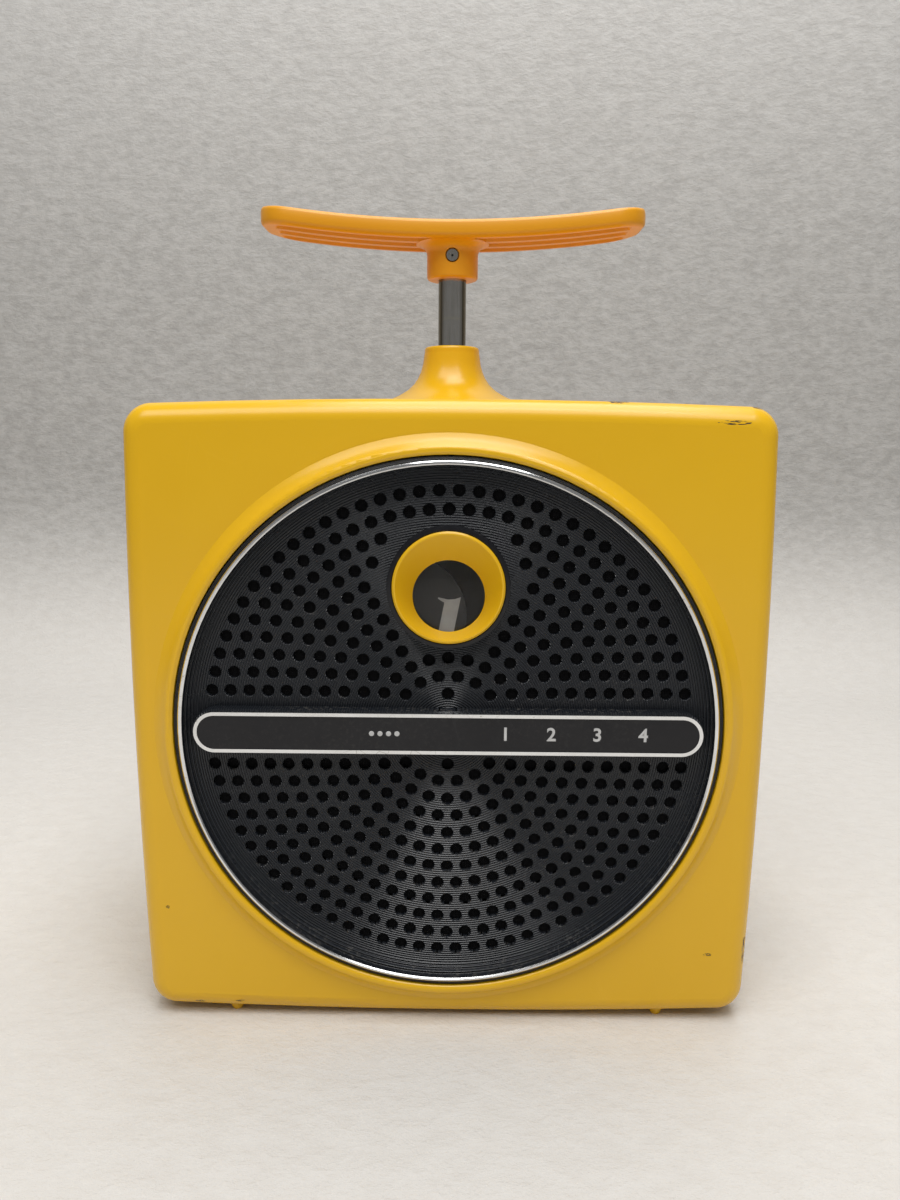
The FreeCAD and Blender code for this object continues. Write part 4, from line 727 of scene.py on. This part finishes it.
def round_ended_block(name, half_length, half_height, front, back, bevel):
    """A bar with round ends and a softened front edge."""
    steps = 24
    loops = []
    for y, inset in ((back, 0.0), (front + bevel, 0.0), (front + bevel * 0.3, bevel * 0.3),
                     (front, bevel)):
        height = half_height - inset
        reach = half_length - half_height
        turns = [math.pi * step / steps - math.pi / 2 for step in range(steps + 1)]
        loops.append([(RING.x + side * (reach + height * math.cos(turn)), y,
                       RING.z + side * height * math.sin(turn))
                      for side in (1, -1) for turn in turns])
    return skinned(name, loops)


def grille():
    """Perforated disc with its dished rim and the bed of the name bar, and the window collar."""
    overlap = 0.1 * MM
    play = 0.05 * MM
    plate = grown("grille_plate", PLATE, Rings=HOLE_RINGS, Pitch=HOLE_PITCH,
                  Hole_Radius=HOLE_RADIUS, Bevel=0.22 * MM, Plate_Radius=FIELD_RADIUS,
                  Thickness=GRILLE_THICK, Window_Rise=WINDOW_RISE,
                  Window_Radius=COLLAR_RADIUS - 0.5 * MM, Window_Clear=COLLAR_RADIUS + HOLE_MARGIN,
                  Bar_Clear=HALF_BAR_HEIGHT + HOLE_MARGIN, Front=(RING.x, GRILLE_BACK, RING.z),
                  Material=FINISHES["grille_black"])
    seat = TRIM_RADIUS - TRIM_WIDTH - play
    rim_front = RING_Y + 0.5 * MM
    dish_floor = GRILLE_Y + 0.02 * MM
    profile = [
        (GRILLE_BACK, FIELD_RADIUS - overlap),
        (GRILLE_BACK, PAN_RADIUS),
        (RING_Y + 1.3 * MM, PAN_RADIUS),
        (RING_Y + 0.7 * MM, PAN_RADIUS - 0.5 * MM),
        (RING_Y + 0.7 * MM, TRIM_RADIUS + play),
        (RING_Y + 1.6 * MM, TRIM_RADIUS + play),
        (RING_Y + 1.6 * MM, seat),
    ]
    profile += [(rim_front + (dish_floor - rim_front) * sine, seat + (RIM_INNER - seat) * rest)
                for sine, rest in arc(14)]
    profile.append((dish_floor, FIELD_RADIUS - overlap))
    rim = lathe("grille_rim", profile, (RING.x, RING.z), steps=256)
    bed = round_ended_block("bar_bed", HALF_BAR_LENGTH + 0.6 * MM, HALF_BAR_HEIGHT + 0.6 * MM,
                            RING_Y + 1.4 * MM, GRILLE_Y + 0.5 * MM, 0.3 * MM)
    disc = joined("grille_disc", [plate, rim, bed])
    place_piece("grille_disc", disc, "case", "grille_black", ["speaker_grille"], smooth=28.0)
    inner = BEZEL_RADIUS + play
    collar = lathe("window_collar", [
        (GRILLE_BACK, inner),
        (GRILLE_BACK, COLLAR_RADIUS),
        (rim_front + 0.4 * MM, COLLAR_RADIUS),
        (rim_front + 0.1 * MM, COLLAR_RADIUS - 0.12 * MM),
        (rim_front, COLLAR_RADIUS - 0.4 * MM),
        (rim_front, inner + 0.3 * MM),
        (rim_front + 0.3 * MM, inner),
    ], (WINDOW.x, WINDOW.z), steps=96)
    place_piece("window_collar", collar, "case", "bar_black")


def grille_scrim():
    """Black cloth stretched behind the holes."""
    low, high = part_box("grille_cloth")
    radius = radius_of("grille_cloth")
    eye = BEZEL_RADIUS + 1.0 * MM
    mesh = grown("grille_scrim", PLATE, Rings=0, Pitch=HOLE_PITCH, Hole_Radius=HOLE_RADIUS,
                 Bevel=0.1 * MM, Plate_Radius=radius, Thickness=high.y - low.y,
                 Window_Rise=WINDOW_RISE, Window_Radius=eye, Window_Clear=0.0, Bar_Clear=0.0,
                 Front=(RING.x, high.y, RING.z), Material=FINISHES["cloth_black"])
    piece = place_piece("grille_scrim", mesh, "case", "cloth_black", ["grille_cloth"])


# ---------------- numerals and dots

def numeral(text, size, thick, weight):
    """A raised numeral in its own flat frame, centred, facing +Z."""
    curve = bpy.data.curves.new("numeral_" + text, "FONT")
    curve.body = text
    curve.size = size
    curve.extrude = thick / 2
    curve.offset = weight
    curve.align_x = curve.align_y = "CENTER"
    curve.resolution_u = 6
    shape = bmesh.new()
    shape.from_mesh(settled(add_object(curve.name, curve)))
    return sealed(curve.name, shape)


def dial_one(height, stroke, thick):
    """The dial's plain 1: a straight stem with a short flag, in its own flat frame."""
    stem = [(-0.5, -height), (0.5, -height), (0.5, 0.0)]
    flag = [(0.15, -0.13), (-0.3, -0.17), (-0.95, -0.02), (-0.98, -0.10), (-0.72, -0.26),
            (-0.5, -0.36)]
    outline = [(x * stroke, height / 2 + y) for x, y in stem]
    outline += [(x * stroke, height / 2 + y * stroke) for x, y in flag]
    return skinned("dial_one", [[(x, y, z) for x, y in outline] for z in (-thick / 2, thick / 2)])


def stand_up(mesh, place, spin=0.0, lean=0.0):
    """Turns a flat numeral to face the front, spun about Y, and moves it to its place."""
    upright = Euler((math.pi / 2, 0.0, 0.0)).to_matrix().to_4x4()
    slant = Matrix.Identity(4)
    slant[0][1] = math.tan(lean)
    mesh.transform(Matrix.Translation(place) @ Matrix.Rotation(spin, 4, "Y") @ upright @ slant)
    return mesh


def dial_numerals():
    """Four programme numbers on the disc behind the lens."""
    axle = middle("number_disc")
    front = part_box("number_disc")[0].y
    ring = 14.0 * MM
    thick = 0.12 * MM
    narrow = Matrix.Diagonal((0.66, 1.0, 1.0, 1.0))
    meshes = []
    for number in range(4):
        turn = -math.pi / 2 * number
        place = Vector((axle.x + ring * math.cos(turn), front - thick / 2,
                        axle.z - ring * math.sin(turn)))
        if number:
            flat = numeral(str(number + 1), 12.5 * MM, thick, 0.3 * MM)
            flat.transform(narrow)
        else:
            flat = dial_one(13.0 * MM, 4.6 * MM, thick)
        meshes.append(stand_up(flat, place, turn, math.radians(11)))
    place_piece("dial_numerals", joined("dial_numerals", meshes), "index", "disc_black",
                material=PRINT_GREY)


def lens():
    """Smooth domed lens in the bezel."""
    low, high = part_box("indicator_lens")
    centre = middle("indicator_lens")
    play = 0.02 * MM
    radius = radius_of("indicator_lens") - play
    rise = 0.5 * MM
    profile = [(high.y - play, 0.0), (high.y - play, radius), (low.y + rise, radius)]
    steps = 24
    profile += [(low.y + play + (rise - play) * (step / steps) ** 2, radius * step / steps)
                for step in reversed(range(steps))]
    mesh = lathe("dial_lens", profile, (centre.x, centre.z), steps=96)
    place_piece("dial_lens", mesh, "case", "lens_clear", ["indicator_lens"], smooth=40.0)


def bar_print():
    """Four dots and the plain programme numbers on the name bar."""
    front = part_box("name_bar")[0].y
    thick = 0.10 * MM
    dot = [(front, 0.0), (front, 0.78 * MM), (front - thick, 0.70 * MM), (front - thick, 0.0)]
    meshes = []
    for number in range(4):
        place = Vector((RING.x + (17.0 + 13.5 * number) * MM, front - thick / 2, RING.z))
        meshes.append(stand_up(numeral(str(number + 1), 5.6 * MM, thick, 0.12 * MM), place))
        dot_x = RING.x + (-22.4 + 2.5 * number) * MM
        meshes.append(lathe("bar_dot", dot, (dot_x, RING.z), steps=20))
    place_piece("bar_print", joined("bar_print", meshes), "case", "chrome_trim",
                material=PRINT_SILVER)


# ---------------- screws and springs

def screw_tree():
    """Cross-slotted screws, one on each point of the shape that comes in."""
    tree, given, result = group(
        "screw_set", "Geometry=shape, Head Radius, Head Height, Shank Radius, Shank Length, "
        "Slot Width, Turn=vector, Material=finish", "Geometry=shape", "GeometryNodeTree")
    height, length, width = given["Head Height"], given["Shank Length"], given["Slot Width"]

    def moved(shape, lift):
        return geo(tree, "Transform", {"Geometry": shape, "Translation": combine(tree, z=lift)})

    def cylinder(sides, radius, depth):
        return geo(tree, "MeshCylinder", {"Vertices": sides, "Radius": radius, "Depth": depth},
                   fill_type="NGON")

    head = moved(cylinder(32, given["Head Radius"], height), height * 0.5)
    carved = geo(tree, "MeshBoolean", {"Mesh 1": head}, operation="DIFFERENCE")
    reach = given["Head Radius"] * 1.3
    for size in (combine(tree, reach, width, height), combine(tree, width, reach, height)):
        slot = moved(geo(tree, "MeshCube", {"Size": size}), height)
        feed(slot, carved.socket.node.inputs["Mesh 2"])
    shank = moved(cylinder(20, given["Shank Radius"], length), length * -0.5)
    sow(tree, given, together(tree, carved, shank), result)
    return tree


def spring_tree():
    """Tapering wire coils, one on each point of the shape that comes in."""
    tree, given, result = group(
        "coil_set", "Geometry=shape, Wide, Narrow, Height, Rotations, Wire Radius, Turn=vector, "
        "Material=finish", "Geometry=shape", "GeometryNodeTree")
    line = geo(tree, "CurveSpiral", {
        "Resolution": 24, "Rotations": given["Rotations"], "Start Radius": given["Wide"],
        "End Radius": given["Narrow"], "Height": given["Height"]})
    section = geo(tree, "CurvePrimitiveCircle", {"Resolution": 8, "Radius": given["Wire Radius"]})
    coil = geo(tree, "CurveToMesh", {
        "Curve": line, "Profile Curve": section, "Fill Caps": True})
    sow(tree, given, coil, result)
    return tree


SCREWS = screw_tree()
COILS = spring_tree()


def islands(node):
    """The separate solids of a CAD node, as the corners of their boxes."""
    shape = bmesh.new()
    shape.from_mesh(frame["nodes"][node].data)
    bmesh.ops.remove_doubles(shape, verts=shape.verts, dist=1e-6)
    left = set(shape.verts)
    found = []
    while left:
        queue = [left.pop()]
        island = list(queue)
        while queue:
            for edge in queue.pop().link_edges:
                for vert in edge.verts:
                    if vert in left:
                        left.discard(vert)
                        queue.append(vert)
                        island.append(vert)
        found.append(corners([vert.co for vert in island]))
    shape.free()
    return sorted(found, key=lambda box: tuple(round(value, 5) for value in box[0]))


def screw_set(name, node, head_radius, head_height, shank_radius, body="case", finish="steel",
              front=False):
    """Cross-slotted screws for a CAD node's plain ones. Their heads look back, or to the front."""
    boxes = islands(node)
    seats = []
    for low, high in boxes:
        centre = (low + high) / 2
        head_side = low.y + head_height if front else high.y - head_height
        seats.append((centre.x, head_side, centre.z))
    low, high = boxes[0]
    mesh = grown(name, SCREWS, seats, Head_Radius=head_radius, Head_Height=head_height,
                 Shank_Radius=shank_radius, Shank_Length=high.y - low.y - head_height,
                 Slot_Width=head_radius * 0.34, Material=FINISHES[finish],
                 Turn=(math.pi / 2 if front else -math.pi / 2, 0.0, 0.0))
    place_piece(name, mesh, body, finish, [node])


def cell_springs():
    """Conical coils in the battery bay."""
    boxes = islands("battery_springs")
    inset = 0.3 * MM
    seats = [((low.x + high.x) / 2, low.y + inset, (low.z + high.z) / 2) for low, high in boxes]
    low, high = boxes[0]
    mesh = grown("cell_springs", COILS, seats, Wide=5.6 * MM, Narrow=3.0 * MM, Rotations=3.5,
                 Height=high.y - low.y - 2 * inset, Wire_Radius=0.38 * MM,
                 Turn=(-math.pi / 2, 0.0, 0.0), Material=FINISHES["steel"])
    place_piece("cell_springs", mesh, "case", "steel", ["battery_springs"])


# ---------------- handle and neck

def carved(name, mesh, cutter):
    """A mesh with another one cut out of it."""
    body = add_object(name, mesh)
    tool = add_object(name + "_cutter", cutter)
    modifier = body.modifiers.new("cut", "BOOLEAN")
    modifier.object = tool
    modifier.solver = "EXACT"
    return settled(body, tool)


def handle_grip():
    """Bowed grip with rounded ends and three lengthwise grooves under it, and its lowest height."""
    low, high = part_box("plunger_handle")
    half_length, half_width = radius_of("plunger_handle"), (high.y - low.y) / 2
    bow = 400.0 * MM
    thick = 6.0 * MM
    soft = 1.7 * MM
    crown = 0.3 * MM
    end_round = 11.0 * MM
    deepest = 2.0 * MM
    groove_spacing = 7.7 * MM
    reach = 2.6 * MM
    slope = 0.35 * MM
    groove = [(reach, 0.0), (reach - slope, 0.85), (reach - 2 * slope, 1.0), (0.0, 1.0),
              (2 * slope - reach, 1.0), (slope - reach, 0.85), (-reach, 0.0)]
    corner = arc(6)
    top = high.z - (bow - math.sqrt(bow ** 2 - (half_length - soft) ** 2)) - 0.02 * MM
    spacing = half_length / 48
    stations = [spacing * i for i in range(46)]
    stations += [half_length - soft * (1 - sine) for sine, rest in corner]
    loops = []
    for x in sorted(set([-x for x in stations] + stations)):
        far = abs(x)
        half = half_width
        into_end = far - half_length + end_round
        if into_end > 0:
            half -= end_round - math.sqrt(max(end_round ** 2 - into_end ** 2, 0.0))
        share = min(max((far - half_length + soft) / soft, 0.0), 1.0)
        shrink = soft * (1 - math.sqrt(1 - share ** 2))
        edge = soft - shrink * 0.6
        fade = min(max((half_length - 5.0 * MM - far) / (2.5 * MM), 0.0), 1.0)
        depth = deepest * fade * fade * (3 - 2 * fade)
        rise = top + bow - math.sqrt(bow ** 2 - x ** 2)
        upper, lower = rise - shrink, rise - thick + shrink
        shoulder = upper - crown
        flat = max(half - edge, 0.4 * MM)
        scale = flat / (half_width - soft)
        section = [(flat * (i / 6 - 1), upper - crown * (1 - i / 6) ** 2) for i in range(13)]
        section += [(flat + edge * sine, shoulder - edge * rest) for sine, rest in corner[1:]]
        section += [(flat + edge * (1 - rest), lower + edge * (1 - sine)) for sine, rest in corner]
        for centre in (groove_spacing, 0.0, -groove_spacing):
            section += [((centre + offset) * scale, lower + depth * deep)
                        for offset, deep in groove]
        section += [(-flat - edge * sine, lower + edge * rest) for sine, rest in corner]
        section += [(-flat - edge * sine, shoulder - edge * rest) for sine, rest in corner[5:0:-1]]
        loops.append([(x, y, z) for y, z in section])
    return skinned("handle_grip", loops), top - thick


def handle():
    """The grip on its hub, with the hub's screw hole."""
    grip, under = handle_grip()
    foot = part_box("plunger_handle")[0].z
    tube = radius_of("plunger_tube")
    bore = tube + 0.06 * MM
    bore_end = foot + 8.0 * MM
    radius = tube + 3.8 * MM
    flare = 3.6 * MM
    edge = 0.9 * MM
    into_grip = 0.1 * MM
    hub_top = under + 2.0 * MM
    profile = [(foot, bore)]
    profile += [(foot + edge * rest, radius - edge * (1 - sine)) for sine, rest in arc(5)]
    profile += [(under + into_grip - flare * (1 - sine), radius + flare * rest)
                for sine, rest in arc(8)]
    profile += [(hub_top, radius + flare), (hub_top, 0.0), (bore_end, 0.0), (bore_end, bore)]
    hub = lathe("handle_hub", profile, (0.0, 0.0), axis="Z", steps=96)
    screw = middle("handle_screw")
    outside, inside, wide = -radius - 2.0 * MM, -radius + 1.6 * MM, 2.25 * MM
    hole = lathe("screw_hole", [(outside, 0.0), (outside, wide), (inside, wide), (inside, 0.0)],
                 (screw.x, screw.z), steps=32)
    whole = joined("ribbed_handle", [grip, carved("handle_hub", hub, hole)])
    place_piece("ribbed_handle", whole, "plunger", "handle_orange", ["plunger_handle"],
                smooth=32.0)


def neck_skirt():
    """Wide flare where the neck runs out into the top of the case."""
    outline = [  # heights and radii in millimetres
        (208.6, 9.24), (206.6, 9.50), (204.7, 9.84), (202.6, 10.45), (200.5, 11.4),
        (198.5, 12.75), (196.6, 14.8), (194.9, 17.6), (193.6, 20.4), (192.6, 23.4),
        (192.0, 26.0), (191.55, 28.6), (191.1, 31.5), (190.9, 31.5), (190.9, 8.9), (208.6, 8.9),
    ]
    mesh = lathe("neck_skirt", [(z * MM, r * MM) for z, r in outline], (0.0, 0.0), axis="Z",
                 steps=128)
    place_piece("neck_skirt", mesh, "case", "case_yellow", smooth=60.0)


# ---------------- loudspeaker cone

def cone_paper():
    """Pressed cone with a rolled surround and a dust dome."""
    low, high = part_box("speaker_cone")
    centre = middle("speaker_cone")
    radius = radius_of("speaker_cone")
    coil = 10.0 * MM
    former_wall = 0.6 * MM
    thick = 0.3 * MM
    roll_height = 0.3 * MM
    roll_share = 0.12
    flare = 1.08
    dome_rise = 3.0 * MM
    neck_y = high.y - 6.5 * MM
    front = low.y + 0.38 * MM
    steps = 60
    cone = []
    for step in range(steps + 1):
        share = step / steps
        if share < roll_share:
            y = front + roll_height * math.sin(share / roll_share * 3 * math.pi)
        else:
            fall = (share - roll_share) / (1 - roll_share)
            y = front + (neck_y - front) * fall ** flare
        cone.append((y, radius - (radius - coil) * share))
    dome = [(neck_y - dome_rise * sine, coil * (1 - rest)) for sine, rest in arc(10)[1:]]

    def behind(points):
        return [(y + thick, r) for y, r in reversed(points)]

    former = [(neck_y + thick, coil), (high.y, coil), (high.y, coil + former_wall)]
    outline = cone + dome + behind(dome) + former + behind(cone[:-1])
    mesh = lathe("cone_paper", outline, (centre.x, centre.z), steps=128)
    place_piece("cone_paper", mesh, "cone", "paper_cone", ["speaker_cone"], smooth=40.0)


# ---------------- setting

def sweep():
    """Pale floor that bends up into a wall, which painted shade makes darker than the floor and
    painted light makes paler towards its top.
    """
    front_y, back_y, bend, width, top = -1.6, 0.46, 0.16, 10.0, 3.0
    line = [(front_y, 0.0), (back_y - bend, 0.0)]
    line += [(back_y - bend + bend * sine, bend * rest) for sine, rest in arc(12)[1:]]
    line.append((back_y, top))
    mesh = bpy.data.meshes.new("pale_sweep")
    mesh.from_pydata(
        [(x, y, z) for y, z in line for x in (-width, width)], [],
        [(2 * i, 2 * i + 1, 2 * i + 3, 2 * i + 2) for i in range(len(line) - 1)])
    mesh.polygons.foreach_set("use_smooth", [True] * len(mesh.polygons))
    finish = Finish("sweep_grey", Roughness=0.95, IOR=1.3)
    place = here(finish.tree)
    felt = place.vector("MULTIPLY", (105.0, 140.0, 185.0)).noise(1.0, 5.0, 0.7)
    height = place.split()[2]
    # painted shade and light: the wall is darker than the floor, darkest low down and paler towards
    # its top
    wall = height.band(0.25, 0.75).mix((0.37, 0.36, 0.345), (0.56, 0.55, 0.535))
    felt_with_painted_shade = height.band(0.0, 0.14).mix((0.66, 0.635, 0.60), wall)
    finish.give(Base_Color=felt.band(0.3, 0.7, 0.0, 0.24).mix(felt_with_painted_shade, (0.78, 0.77, 0.75)))
    finish.bump(felt, 1.2 * MM)
    mesh.materials.append(finish.material)
    add_object("pale_sweep", mesh)


def lamp(name, place, aim, size, power):
    data = bpy.data.lights.new(name, "AREA")
    data.shape = "RECTANGLE"
    data.size, data.size_y = size
    data.energy = power
    data.color = (1.0, 0.995, 0.985)
    light = add_object(name, data)
    light.location = place
    light.rotation_euler = (Vector(aim) - Vector(place)).to_track_quat("-Z", "Y").to_euler()


def room():
    """A dim even world, which the camera sees as a paler grey."""
    world = bpy.data.worlds.new("room")
    world.use_nodes = True
    tree = world.node_tree
    background = tree.nodes["Background"]
    feed((1.0, 1.0, 1.0), background.inputs["Color"])
    feed(0.19, background.inputs["Strength"])
    seen = wire(tree, "ShaderNodeBackground", {"Color": (0.62, 0.61, 0.595), "Strength": 1.0})
    direct = wire(tree, "ShaderNodeLightPath", out="Is Camera Ray")
    mixed = wire(tree, "ShaderNodeMixShader", (direct, Value(background.outputs[0]), seen))
    feed(mixed, tree.nodes["World Output"].inputs["Surface"])
    bpy.context.scene.world = world


def camera():
    data = bpy.data.cameras.new("camera")
    data.sensor_fit = "VERTICAL"
    data.sensor_height = 36.0
    data.lens = 27.17
    data.clip_start = 0.01
    eye = add_object("camera", data)
    yaw, pitch, roll = [math.radians(angle) for angle in (-0.495, 9.941, 0.396)]
    ahead = Vector((math.sin(yaw) * math.cos(pitch), math.cos(yaw) * math.cos(pitch),
                    -math.sin(pitch)))
    level_right = Vector((math.cos(yaw), -math.sin(yaw), 0.0))
    level_up = level_right.cross(ahead)
    right = level_right * math.cos(roll) + level_up * math.sin(roll)
    up = level_up * math.cos(roll) - level_right * math.sin(roll)
    pose = Matrix((right, up, -ahead)).transposed().to_4x4()
    pose.translation = Vector((0.00265, -0.31432, 0.17974))
    eye.matrix_world = pose
    bpy.context.scene.camera = eye


grille()
grille_scrim()
dial_numerals()
lens()
bar_print()
screw_set("case_screw_set", "case_screws", 3.0 * MM, 2.2 * MM, 1.2 * MM)
screw_set("deck_screw_set", "deck_screws", 2.6 * MM, 1.6 * MM, 1.1 * MM)
screw_set("speaker_screw_set", "speaker_screws", 1.35 * MM, 1.0 * MM, 0.8 * MM)
screw_set("handle_cross_screw", "handle_screw", 1.85 * MM, 1.2 * MM, 1.2 * MM, body="plunger",
          finish="polished_steel", front=True)
handle()
neck_skirt()
cell_springs()
cone_paper()
sweep()
lamp("high_front", (-0.1, -0.75, 1.30), (0.0, 0.0, 0.05), (1.5, 0.7), 12.3)
lamp("overhead", (0.1, -0.08, 1.20), (0.0, -0.08, 0.0), (1.0, 0.6), 9.5)
room()
camera()
bpy.context.scene.view_settings.view_transform = "Standard"
